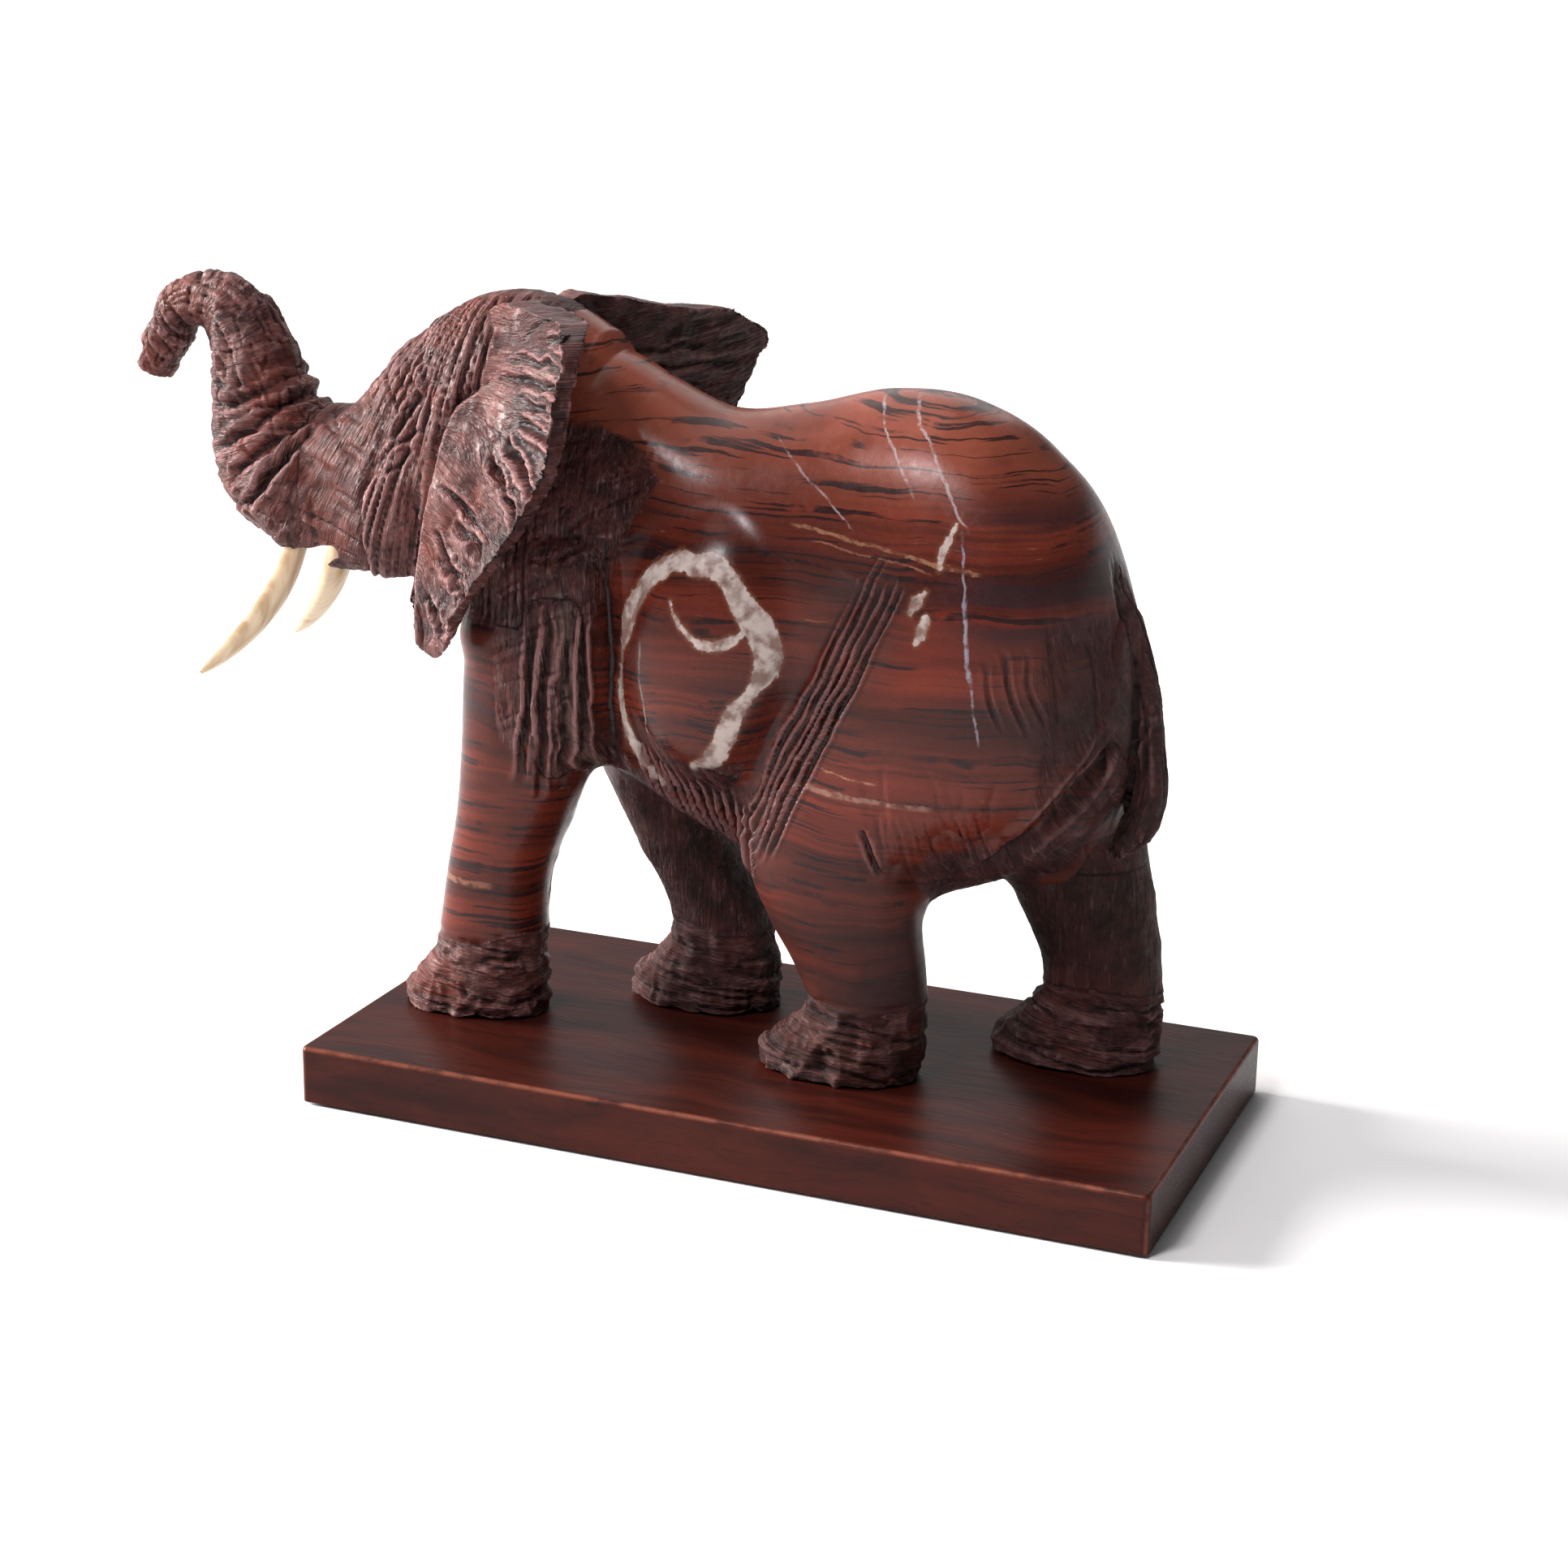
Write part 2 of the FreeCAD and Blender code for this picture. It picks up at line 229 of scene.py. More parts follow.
def oval_distance(a, b, half_a, half_b, power):
    """Distance in a section plane to a super-ellipse with the given half sizes."""
    length = np.sqrt(a * a + b * b) + 1e-3
    ua, ub = (np.abs(a) + 5e-4) / length, (np.abs(b) + 5e-4) / length
    reach = ((ua / half_a) ** power + (ub / half_b) ** power) ** (-1.0 / power)
    return length - reach


def leg_distance(x, y, z, curves, power=2.3):
    """Distance to a leg of flat oval sections with a domed top."""
    height = np.clip(z, curves.start, curves.end)
    cx, half_length, cy, half_width = curves(height)
    over = np.clip((z - curves.end) / 16.0, 0.0, 1.0)
    shrink = np.sqrt(np.maximum(1.0 - over ** 2, 0.05))
    beyond = np.maximum(z - curves.end - 16.0, 0.0)
    return oval_distance(x - cx, y - cy, half_length * shrink, half_width * shrink, power) + beyond


def bar_distance(x, y, z, line, flatten=1.0):
    """Distance to a tapering bar along a line in the middle plane."""
    path = smooth_path(line)
    dy = (y - MID_Y) / flatten
    best = np.full(x.shape, 1e6, dtype=np.float32)
    for (ax, az, ar), (bx, bz, br) in zip(path[:-1], path[1:]):
        ex, ez = bx - ax, bz - az
        t = np.clip(((x - ax) * ex + (z - az) * ez) / (ex * ex + ez * ez), 0.0, 1.0)
        gap = np.sqrt((x - ax - ex * t) ** 2 + (z - az - ez * t) ** 2 + dy * dy) - (ar + (br - ar) * t)
        best = np.minimum(best, gap)
    return best


def ball(x, y, z, center, radii, lean=0.0):
    """Distance to an ellipsoid, leaning by an angle in the XZ plane."""
    c, s = math.cos(lean), math.sin(lean)
    dx, dy, dz = x - center[0], y - center[1], z - center[2]
    u, w = c * dx - s * dz, s * dx + c * dz
    q = np.sqrt((u / radii[0]) ** 2 + (dy / radii[1]) ** 2 + (w / radii[2]) ** 2) + 1e-4
    g = np.sqrt((u / radii[0] ** 2) ** 2 + (dy / radii[1] ** 2) ** 2 + (w / radii[2] ** 2) ** 2) + 1e-6
    return q * (q - 1.0) / g


def ear_frame(x, y, z, side):
    """Place across an ear (0 root, 1 rim), its chord, its rise, and the distance out of its plane."""
    a = MID_Y - np.abs(y - MID_Y)
    lift = z + (RIGHT_EAR_DROP if side == RIGHT else 0.0)
    fx, fy, rx, ry = EAR_TABLE(np.clip(lift, EAR_LOW, EAR_HIGH))
    cx, cy = rx - fx, ry - fy
    chord = np.sqrt(cx * cx + cy * cy)
    cx, cy = cx / chord, cy / chord
    across = ((x - fx) * cx + (a - fy) * cy) / chord
    out = (x - fx) * cy - (a - fy) * cx
    return across, chord, lift, out


def ear_cup(across):
    """How far the ear bows out of its plane, towards the back of the head at the rim."""
    u = np.clip(across, 0.0, 1.2)
    return -5.0 * np.sin(np.pi * np.minimum(u, 1.0)) + 5.0 * ramp(u, 0.75, 1.1)


def ear_distance(x, y, z, side):
    """Distance to one ear, a cupped plate with a ragged rim."""
    across, chord, lift, out = ear_frame(x, y, z, side)
    ragged = 1.6 * noise(x * 0.11, y * 0.13, z * 0.11, 21) + 0.9 * noise(x * 0.26, y * 0.30, z * 0.26, 22)
    over = np.maximum(across - 1.0, -across - 0.15) * chord - ragged
    top = EAR_HIGH - 9.0 * ramp(across, 0.7, 1.05)
    if side == RIGHT:
        over = over - 5.0 * np.exp(-((lift - 238.0) / 10.0) ** 2)
        top = top + 7.5 - 13.0 * np.clip(across, 0.0, 1.0)
    rise = np.maximum(lift - top, EAR_LOW - lift) + 1.2 * noise(x * 0.12, y * 0.14, z * 0.12, 23)
    edge = smooth_max(over, rise, 5.0)
    thin = EAR_HALF_THICKNESS - 1.4 * ramp(across, 0.4, 0.8) + 1.6 * ramp(across, 0.82, 0.98)
    thin = thin + 3.0 * ramp(lift, 240.0, 250.0)
    face = np.abs(out - ear_cup(across)) - thin
    inside = np.minimum(np.maximum(face, edge + thin), 0.0)
    return np.sqrt(np.maximum(face, 0.0) ** 2 + np.maximum(edge + thin, 0.0) ** 2) + inside


def mouth_distance(x, z):
    """Distance to the slot between the chin and the trunk's underside."""
    gap, share = along_piece(x, z, (-192.0, 150.0), (-168.5, 159.3))
    return gap - (5.0 - 2.6 * share)


def stone_distance(x, y, z):
    """Signed distance, negative inside, to the smooth form of the elephant."""
    spread = np.abs(y - MID_Y)
    body = oval_along_x(x, y, z, TORSO, 10.0, 6.0, 2.25)
    body = smooth_min(body, ball(x, spread, z, (-84, 19, 168), (25, 23, 54), -0.10), 9.0)
    legs = leg_distance(x, y, z, LEFT_FORELEG)
    for curves in (RIGHT_FORELEG, LEFT_HINDLEG, RIGHT_HINDLEG):
        legs = np.minimum(legs, leg_distance(x, y, z, curves))
    body = smooth_min(body, legs, 11.0)
    body = smooth_min(body, ball(x, spread, z, (-18, 24, 142), (35, 28.5, 49), 0.08), 4.0)
    body = smooth_min(body, ball(x, y, z, (58, MID_Y - 21, 130), (41, 27, 62), 0.42), 7.0)
    body = smooth_min(body, ball(x, y, z, (70, MID_Y + 21, 130), (38, 27, 60), 0.15), 7.0)
    head = oval_along_x(x, y, z, HEAD, 4.0, 8.0, 2.4)
    head = smooth_min(head, ball(x, spread, z, (-142, 17, 176), (20, 12, 24), 0.1), 8.0)
    head = smooth_max(head, JAW_HEIGHT + 0.06 * (x + 160.0) - z, 2.0)
    head = smooth_min(head, bar_distance(x, y, z, TRUNK_LINE), 6.0)
    head = smooth_min(head, ball(x, spread, z, (-166, 15, 194), (12, 7.5, 9), -0.6), 7.0)
    head = smooth_min(head, ball(x, spread, z, (-184, 13, 167), (15, 11, 12), 0.4), 7.0)
    head = smooth_max(head, -mouth_distance(x, z), 1.5)
    tip = (x + 251.5) * -0.47 + (z - 216.5) * -0.88 - 3.5
    head = smooth_max(head, np.where((x < -232.0) & (z < 236.0), tip, -40.0), 1.5)
    stone = smooth_min(body, head, 9.0)
    for side in (LEFT, RIGHT):
        ear = np.where((y - MID_Y) * side > 0.0, ear_distance(x, y, z, side), 40.0)
        stone = smooth_min(stone, ear, 3.0)
    stone = smooth_min(stone, bar_distance(x, y, z, TAIL_LINE, 1.1), 3.0)
    return smooth_max(stone, -z, 1.5)


def gradient(x, y, z, value, step=0.25):
    """Direction in which the distance grows."""
    gx = stone_distance(x + step, y, z) - value
    gy = stone_distance(x, y + step, z) - value
    gz = stone_distance(x, y, z + step) - value
    length = np.sqrt(gx * gx + gy * gy + gz * gz) + 1e-6
    return gx / length, gy / length, gz / length, length / step


def base_mesh():
    """Points and quads of the form's surface."""
    low = np.array([-272.0, -82.0, -4.0])
    high = np.array([138.0, 98.0, 264.0])
    shape = np.ceil((high - low) / VOXEL).astype(int)
    axes = [low[i] + VOXEL * np.arange(shape[i]) for i in range(3)]
    x, y, z = (a.astype(np.float32) for a in np.meshgrid(*axes, indexing="ij"))
    values = stone_distance(x, y, z).astype(np.float32)
    grid = openvdb.FloatGrid(background=10.0)
    grid.copyFromArray(np.clip(values, -10.0, 10.0))
    points, quads = grid.convertToQuads(isovalue=0.0)
    points = points.astype(np.float64) * VOXEL + low
    return points, quads.astype(np.int64)


def split_quads(points, quads):
    """Each quad becomes four about its middle."""
    edges = np.stack([quads, np.roll(quads, -1, axis=1)], axis=2).reshape(-1, 2)
    keys = np.sort(edges, axis=1)
    unique, inverse = np.unique(keys[:, 0] * len(points) + keys[:, 1], return_inverse=True)
    middle = (points[unique // len(points)] + points[unique % len(points)]) * 0.5
    centers = points[quads].mean(axis=1)
    edge_at = inverse.reshape(-1, 4) + len(points)
    center_at = np.arange(len(quads)) + len(points) + len(middle)
    parts = []
    for corner in range(4):
        columns = [quads[:, corner], edge_at[:, corner], center_at, edge_at[:, corner - 1]]
        parts.append(np.stack(columns, axis=1))
    return np.vstack([points, middle, centers]), np.vstack(parts)


def settle(points, rounds):
    """Move points onto the exact surface and return their normals too."""
    x, y, z = (points[:, i].astype(np.float32) for i in range(3))
    for _ in range(rounds):
        value = stone_distance(x, y, z)
        gx, gy, gz, steep = gradient(x, y, z, value)
        move = np.clip(value / np.maximum(steep, 0.5), -1.5, 1.5)
        x, y, z = x - gx * move, y - gy * move, z - gz * move
    return np.stack([x, y, z], axis=1), np.stack([gx, gy, gz], axis=1)


# ---------------------------------------------------------------- carving

class Surface:
    """Surface points with their normals, and what carving does to them."""

    def __init__(self, points, normals):
        self.points = points.astype(np.float32)
        self.normals = normals.astype(np.float32)
        self.x, self.y, self.z = self.points.T
        self.side = np.sign(self.y - MID_Y)
        self.near = MID_Y - np.abs(self.y - MID_Y)
        self.outward = ramp(self.normals[:, 1] * self.side, 0.05, 0.45)
        self.left = self.outward * (self.y < MID_Y - 6.0)
        self.lift = np.zeros(len(points), dtype=np.float32)
        self.rough = np.zeros(len(points), dtype=np.float32)
        self.pale = np.zeros(len(points), dtype=np.float32)
        self.strand = np.stack([self.x, self.z, self.near * 0.3], axis=1)

    def noise(self, x_scale, y_scale, z_scale, seed):
        return noise(self.x * x_scale, self.y * y_scale, self.z * z_scale, seed)

    def carve(self, depth, weight):
        self.lift -= depth * weight

    def roughen(self, weight):
        self.rough = np.maximum(self.rough, np.clip(weight, 0.0, 1.0))

    def comb(self, weight, across, along, seed):
        """Says which way the chisel marks run where weight is over a half."""
        chosen = weight > 0.5
        other = np.full(self.x.shape, 40.0 * seed, dtype=np.float32) + self.side * 15.0
        self.strand[chosen] = np.stack([across, along, other], axis=1)[chosen]

    def groove(self, path, width, depth, mask, lip=0.3, wander=0.5, plane=None):
        """Cuts a tapering V along a line in a plane of coordinates, with a raised lip, where mask is set."""
        line = smooth_path(path, 5)
        a, b = (self.x, self.z) if plane is None else plane
        reach = width * 2.0 + wander
        box = (a > line[:, 0].min() - reach) & (a < line[:, 0].max() + reach) \
            & (b > line[:, 1].min() - reach) & (b < line[:, 1].max() + reach)
        chosen = np.flatnonzero(box & (mask > 0.02))
        if not len(chosen):
            return
        x, z = a[chosen], b[chosen]
        x = x + wander * noise(x * 0.15, z * 0.15, None, 31)
        z = z + wander * noise(x * 0.17, z * 0.17, None, 32)
        best = np.full(len(chosen), 1e6, dtype=np.float32)
        share = np.zeros(len(chosen), dtype=np.float32)
        count = len(line) - 1
        for i, (start, end) in enumerate(zip(line[:-1], line[1:])):
            gap, t = along_piece(x, z, start, end)
            closer = gap < best
            best = np.where(closer, gap, best)
            share = np.where(closer, (i + t) / count, share)
        taper = np.sqrt(np.clip(4.5 * share * (1.0 - share), 0.0, 1.0))
        inner = np.clip(1.0 - best / width, 0.0, 1.0)
        edge = np.exp(-((best - width * 1.25) / (width * 0.45)) ** 2)
        self.lift[chosen] += (lip * edge - inner ** 1.3) * depth * taper * mask[chosen]

    def strokes(self, path, count, step, width, depth, mask, seed, lip=0.3):
        """Several nearly parallel grooves beside a line."""
        spread = np.random.default_rng(seed)
        line = np.array(path, dtype=float)
        for i in range(count):
            shift = np.array(step) * (i - (count - 1) / 2.0)
            first, last = spread.uniform(0.0, 0.18), spread.uniform(0.82, 1.0)
            share = np.linspace(first, last, max(len(line), 3))
            at = np.linspace(0.0, 1.0, len(line))
            moved = np.stack([np.interp(share, at, line[:, 0]), np.interp(share, at, line[:, 1])], axis=1)
            moved = moved + shift + spread.uniform(-0.5, 0.5, moved.shape)
            self.groove(moved, width * spread.uniform(0.8, 1.2), depth * spread.uniform(0.6, 1.15), mask, lip)


def along_line(x, z, line):
    """Length along a line in the middle plane, and the offset beside it, of each point."""
    path = smooth_path(line)
    best = np.full(x.shape, 1e6, dtype=np.float32)
    length = np.zeros(x.shape, dtype=np.float32)
    beside = np.zeros(x.shape, dtype=np.float32)
    walked = 0.0
    for (ax, az, _), (bx, bz, _) in zip(path[:-1], path[1:]):
        ex, ez = bx - ax, bz - az
        size = math.hypot(ex, ez)
        t = np.clip(((x - ax) * ex + (z - az) * ez) / (size * size), 0.0, 1.0)
        gap = np.hypot(x - ax - ex * t, z - az - ez * t)
        closer = gap < best
        best = np.where(closer, gap, best)
        length = np.where(closer, walked + size * t, length)
        beside = np.where(closer, ((x - ax) * ez - (z - az) * ex) / size, beside)
        walked += size
    return length, beside


def ringed(phase, spacing, seed):
    """Overlapping plates: rises slowly, then drops, once per spacing, unevenly."""
    turn = phase / spacing
    index = np.floor(turn)
    part = turn - index
    strength = 0.7 + 0.3 * noise(index * 0.37 + 0.5, np.zeros_like(index), None, seed)
    return strength * (np.exp(-(part / 0.16) ** 2) + 0.85 * np.exp(-((1.0 - part) / 0.07) ** 2) - 0.35 * part)


def carve_trunk(s):
    length, beside = along_line(s.x, s.z, TRUNK_LINE)
    weight = ramp(s.x, -172.0, -186.0) * ramp(s.z, 150.0, 168.0)
    tilt = 0.75 - 0.6 * ramp(length, 10.0, 55.0)
    phase = length + tilt * beside + 1.6 * s.noise(0.06, 0.07, 0.06, 41)
    around = np.arctan2(s.y - MID_Y, beside)
    big = ringed(phase, 10.5, 42) * ramp(length, 74.0, 58.0)
    fine = ringed(phase + 1.6 * noise(around * 1.5, phase * 0.1, None, 43), 6.4, 44)
    fine = fine * ramp(length, 56.0, 74.0)
    s.carve(1.6 * big + 0.7 * fine, weight)
    hatch = creases(around * 4.0, phase * 0.13, np.floor(phase / 10.5) * 1.7, 45)
    s.carve(hatch ** 3, weight)
    for path, depth in (
        ([(-172, 207), (-187, 189), (-203, 171)], 3.6),
        ([(-180, 206), (-196, 192), (-212, 178)], 2.8),
        ([(-184, 214), (-199, 201), (-217, 190)], 2.8),
        ([(-188, 219), (-201, 211), (-217, 206)], 2.2),
    ):
        s.groove(path, 2.8, depth, weight, 0.35, 0.9)
    chips = s.noise(0.10, 0.10, 0.10, 46)
    s.carve(1.7 * np.abs(chips), weight)
    s.roughen(weight)
    s.comb(weight, phase, around * 16.0, 1)


def carve_face(s, ear):
    face = ramp(s.x, -78.0, -86.0) * ramp(s.z, 142.0, 150.0) * ramp(ear, 1.0, 4.0)
    face = np.maximum(face, ramp(s.x, -122.0, -130.0) * ramp(s.z, 130.0, 140.0))
    cheek = face * ramp(s.x, -188.0, -170.0) * s.outward
    fan = (s.x + 95.0) / (330.0 - s.z)
    warp = 0.012 * noise(s.x * 0.05, s.near * 0.05, s.z * 0.05, 51)
    folds = creases((fan + 0.3 * warp) * 52.0, s.z * 0.006, s.near * 0.006, 52)
    fine = creases((fan + 0.3 * warp) * 104.0, s.z * 0.016, s.near * 0.012, 53)
    back = ramp(s.x, -158.0, -146.0)
    s.carve((2.3 * folds ** 4 + 0.9 * fine ** 2.5) * back, cheek)
    jaw = creases((s.x - s.z * 0.3) * 0.06, (s.z + s.x * 0.35) * 0.28, s.near * 0.05, 54)
    s.carve(1.1 * jaw ** 1.5 * (1.0 - back), cheek)
    brow = ramp(s.z, 206.0, 214.0) * ramp(s.x, -118.0, -128.0)
    brow_folds = creases((s.x * 0.8 + s.z * 0.55) * 0.2, (s.z - s.x) * 0.035, s.near * 0.05, 55)
    s.carve(1.1 * brow_folds ** 1.5, face * brow)
    edge_x = np.interp(s.z, [146, 178, 184, 196], [-150.5, -151.0, -149.5, -141.0])
    behind = s.x - edge_x
    panel = ramp(behind, -1.2, 1.0) * ramp(behind, 26.0, 3.0) * ramp(s.z, 200.0, 186.0)
    s.lift += 2.0 * panel * face * s.outward
    step = np.exp(-((behind + 1.6) / 1.6) ** 2) * ramp(s.z, 200.0, 190.0)
    s.carve(step, face * s.outward)
    s.groove([(-130, 219), (-135, 210), (-141, 201)], 2.2, 2.4, face * s.outward)
    s.groove([(-128, 207), (-134, 203), (-141, 199), (-147, 192)], 1.6, 1.8, face * s.outward)
    s.groove([(-131, 200), (-136, 195), (-143, 190)], 1.4, 1.5, face * s.outward)
    eye = np.hypot(s.x + 137.5, (s.z - 198.5) * 1.3)
    s.lift += 1.6 * np.exp(-(eye / 3.2) ** 2) * face * s.outward
    front_x = np.interp(s.z, [131, 146, 163, 180, 195, 208, 216, 224],
                        [-120, -122, -123, -121.5, -119, -116.5, -113, -102])
    past = s.x - front_x
    plate = ramp(past, -0.8, 1.4) * ramp(past, 30.0, 6.0) * ramp(s.z, 226.0, 214.0)
    s.lift += 3.2 * plate * s.outward * ramp(s.z, 128.0, 140.0)
    ear_front = [(-101, 226), (-113, 218), (-118.5, 206), (-121.5, 192),
                 (-124, 176), (-125.5, 160), (-124, 148)]
    s.groove(ear_front, 3.4, 3.4, s.outward * ramp(s.x, -92.0, -100.0), 0.0)
    chips = s.noise(0.14, 0.14, 0.14, 56)
    s.carve(0.7 * np.abs(chips), face)
    s.roughen(face)
    s.comb(face, fan * 170.0, s.z, 2)


# share across the ear and height of each cut's ends, half width, depth
EAR_CUTS = (
    ([(0.40, 209), (0.84, 194.5)], 2.6, 5.4),
    ([(0.34, 202), (0.60, 192), (0.84, 184)], 2.3, 4.6),
    ([(0.26, 180), (0.65, 171.5)], 2.4, 3.2),
    ([(0.26, 167), (0.80, 156)], 2.2, 2.8),
    ([(0.25, 154), (0.78, 143)], 1.9, 2.4),
    ([(0.10, 232), (0.50, 235), (0.70, 235)], 1.8, 2.2),
    ([(0.17, 226.5), (0.98, 230)], 2.4, 3.0),
    ([(0.43, 220.5), (0.80, 221.5)], 1.6, 1.8),
    ([(0.45, 216.5), (0.93, 210.5)], 2.4, 3.2),
    ([(0.50, 242), (0.95, 247)], 2.4, 2.8),
    ([(0.12, 190), (0.50, 178)], 1.8, 2.2),
    ([(0.15, 175), (0.42, 164)], 1.6, 1.8),
)
EAR_WIDTH = 70.0


def carve_ears(s, across, lift, ear):
    weight = ramp(ear, 4.0, 0.8)
    slope = np.interp(lift + 12.0 * across, [140, 160, 190, 202, 213, 222, 240, 256],
                      [-0.55, -0.38, -0.42, -0.46, -0.18, 0.0, 0.12, 0.2])
    reach = across * EAR_WIDTH
    beside = lift - reach * slope + 3.6 * noise(reach * 0.06, lift * 0.07, s.side * 3.0, 62)
    strength = ramp(across, 0.02, 0.35) * (0.75 + 0.25 * ramp(across, 0.5, 0.9))
    broad = creases(beside * 0.085, reach * 0.012, s.side * 3.0, 63)
    fine = creases(beside * 0.20, reach * 0.030, s.side * 3.0, 64)
    fx, fy, rx, ry = EAR_TABLE(np.clip(lift, EAR_LOW, EAR_HIGH))
    turned = s.normals[:, 0] * (ry - fy) - s.normals[:, 1] * (rx - fx) * np.where(s.y < MID_Y, 1.0, -1.0)
    broadside = ramp(np.abs(turned) / np.hypot(rx - fx, ry - fy), 0.45, 0.80)
    face = weight * (0.4 + 0.6 * s.outward) * (0.12 + 0.88 * broadside)
    s.carve(2.4 * broad ** 3 + 0.8 * fine ** 2.2, face * strength)
    for path, width, depth in EAR_CUTS:
        s.groove([(EAR_WIDTH * a, b) for a, b in path], width, depth, face, 0.45, 1.6, (reach, lift))
    above = lift - 233.0
    layers = ramp(above, -20.0, 4.0) * ramp(across, 0.3, 0.6)
    s.carve(1.5 * np.abs(noise(reach * 0.07, above * 0.17, s.side * 3.0, 66)), face * layers)
    chips = s.noise(0.13, 0.13, 0.13, 67)
    s.carve(0.8 * np.abs(chips), weight)
    s.roughen(weight)
    s.comb(weight, beside, reach, 3)
    s.pale += np.exp(-((across - 0.55) / 0.22) ** 2 - ((lift - 231.0) / 6.0) ** 2) * weight
    s.pale += 0.6 * np.exp(-((across - 0.5) / 0.3) ** 2 - ((lift - 252.0) / 4.0) ** 2) * weight


def carve_chest(s):
    """Hatching on the neck, the deep fold behind the foreleg and the strokes before it."""
    band = ramp(s.z, 96.0, 112.0) * ramp(s.z, 222.0, 206.0)
    neck_rear = np.interp(s.z, [100, 125, 150, 172, 185, 197, 208, 225],
                          [-58, -56, -54, -47, -41, -35, -44, -72])
    neck = ramp(s.x, neck_rear + 3.0, neck_rear - 12.0) * band * ramp(s.x, -96.0, -90.0)
    hatch = creases((s.x + s.z * 0.5) * 0.07, (s.z - s.x * 0.5) * 0.33, s.near * 0.08, 71)
    drop = creases(s.x * 0.34, s.z * 0.03, s.near * 0.05, 72)
    s.carve(0.65 * hatch ** 2 + 0.55 * drop ** 2, neck)
    s.roughen(0.85 * neck)
    s.groove([(-56, 178), (-54.5, 155), (-54.5, 135), (-57, 115), (-60, 94)], 6.0, 6.5, s.outward, 0.10)
    for path in (
        [(-66, 154), (-68, 130), (-70, 108), (-73, 88)],
        [(-72, 158), (-74, 132), (-77, 108), (-80, 86)],
        [(-61.5, 152), (-63, 132), (-65, 112), (-68, 94)],
        [(-78, 152), (-80, 128), (-83, 108), (-86, 90)],
    ):
        s.groove(path, 1.9, 2.0, s.left, 0.6, 1.4)
    grooved = np.exp(-((s.x + 71.0) / 10.0) ** 4) * ramp(s.z, 88.0, 98.0)
    grooved = grooved * ramp(s.z, 165.0, 150.0) * s.left
    s.carve(0.5 * creases(s.x * 0.5, s.z * 0.04, None, 73) ** 2, grooved)
    s.roughen(grooved)
    s.pale += 0.8 * grooved * np.exp(-((s.x + 67.0) / 5.0) ** 2)
    s.comb(grooved, s.x, s.z, 7)


def carve_flank(s):
    """A wide diagonal hollow from the hip to the belly, and the strokes in it."""
    out = s.outward
    fold = [(48, 187), (44, 176), (38, 161), (31, 145), (22, 127), (12, 108), (4, 90), (-1, 77), (-4, 69)]
    s.groove([(34, 172), (21, 149), (7, 122), (-6, 94)], 10.0, 3.4, out, 0.0)
    s.strokes(fold, 5, (3.0, -1.4), 1.25, 1.7, out, 74, 0.9)
    s.strokes(fold[2:7], 4, (3.4, -1.7), 0.8, 0.9, out, 75, 0.6)
    line_x = np.interp(s.z, [69, 77, 90, 108, 127, 145, 161, 176], [-4, -1, 4, 12, 22, 31, 38, 43])
    flanked = np.exp(-((s.x - line_x) / 8.5) ** 4) * ramp(s.z, 64.0, 74.0)
    flanked = flanked * ramp(s.z, 186.0, 168.0) * out
    s.roughen(0.42 * flanked)
    s.comb(flanked, s.x - 0.45 * s.z, s.z + 0.45 * s.x, 4)


def carve_hem(s):
    """The row of short cuts along the belly's edge, between the legs."""
    out = s.outward
    fold_edge = np.interp(s.x, [-50, -35, -15, 0, 12], [112, 100, 90, 82, 80])
    hem = np.exp(-((s.z - fold_edge - 5.0) / 10.0) ** 4) * ramp(s.x, -52.0, -44.0)
    hem = hem * ramp(s.x, 4.0, -4.0) * out
    s.carve(0.8 * creases((s.x + 0.35 * s.z) * 0.3, s.z * 0.02, None, 76) ** 2, hem)
    for i in range(12):
        x = -46.0 + 3.7 * i
        high = np.interp(x, [-46, -30, -10, 0], [109, 100, 93, 88]) + 2.0 * math.sin(2.3 * i)
        s.groove([(x, high), (x + 1.6, high - 11.0), (x + 3.0, high - 22.0)], 1.5, 2.0, out, 0.6)
    s.roughen(0.55 * hem)
    s.comb(hem, s.x + 0.35 * s.z, s.z, 5)


def carve_rump(s):
    """Folds and strokes at the rear, behind the thigh and low on it."""
    out = s.outward
    rump = ramp(s.x, 84.0, 98.0) * ramp(s.z, 84.0, 100.0) * ramp(s.z, 176.0, 158.0)
    s.carve(0.9 * creases((s.x + 0.2 * s.z) * 0.17, s.z * 0.03, s.near * 0.1, 77) ** 2, rump)
    low = ramp(s.x, 30.0, 45.0) * ramp(s.z, 122.0, 104.0) * ramp(s.z, 66.0, 78.0)
    s.carve(0.8 * creases((s.x + 0.15 * s.z) * 0.2, s.z * 0.04, s.near * 0.06, 78) ** 2, low * out)
    s.strokes([(84, 160), (87, 142), (93, 126)], 3, (6.0, 1.0), 1.4, 1.1, out, 79)
    s.groove([(116, 128), (108, 113), (97, 98), (84, 85), (70, 74)], 4.0, 4.6, out, 0.3)
    s.strokes([(120, 134), (110, 114), (99, 97), (84, 82)], 3, (3.0, -3.0), 1.6, 1.8, out, 80, 0.5)
    s.groove([(40, 93), (42, 84), (45, 76)], 1.5, 2.4, out, 0.2)
    s.strokes([(60, 102), (61, 90), (62, 76)], 11, (3.1, 0.2), 0.8, 0.55, out, 82, 0.5)
    s.roughen(np.maximum(0.52 * rump, 0.14 * low))
    s.comb(np.maximum(rump, low), s.x + 0.18 * s.z, s.z, 6)


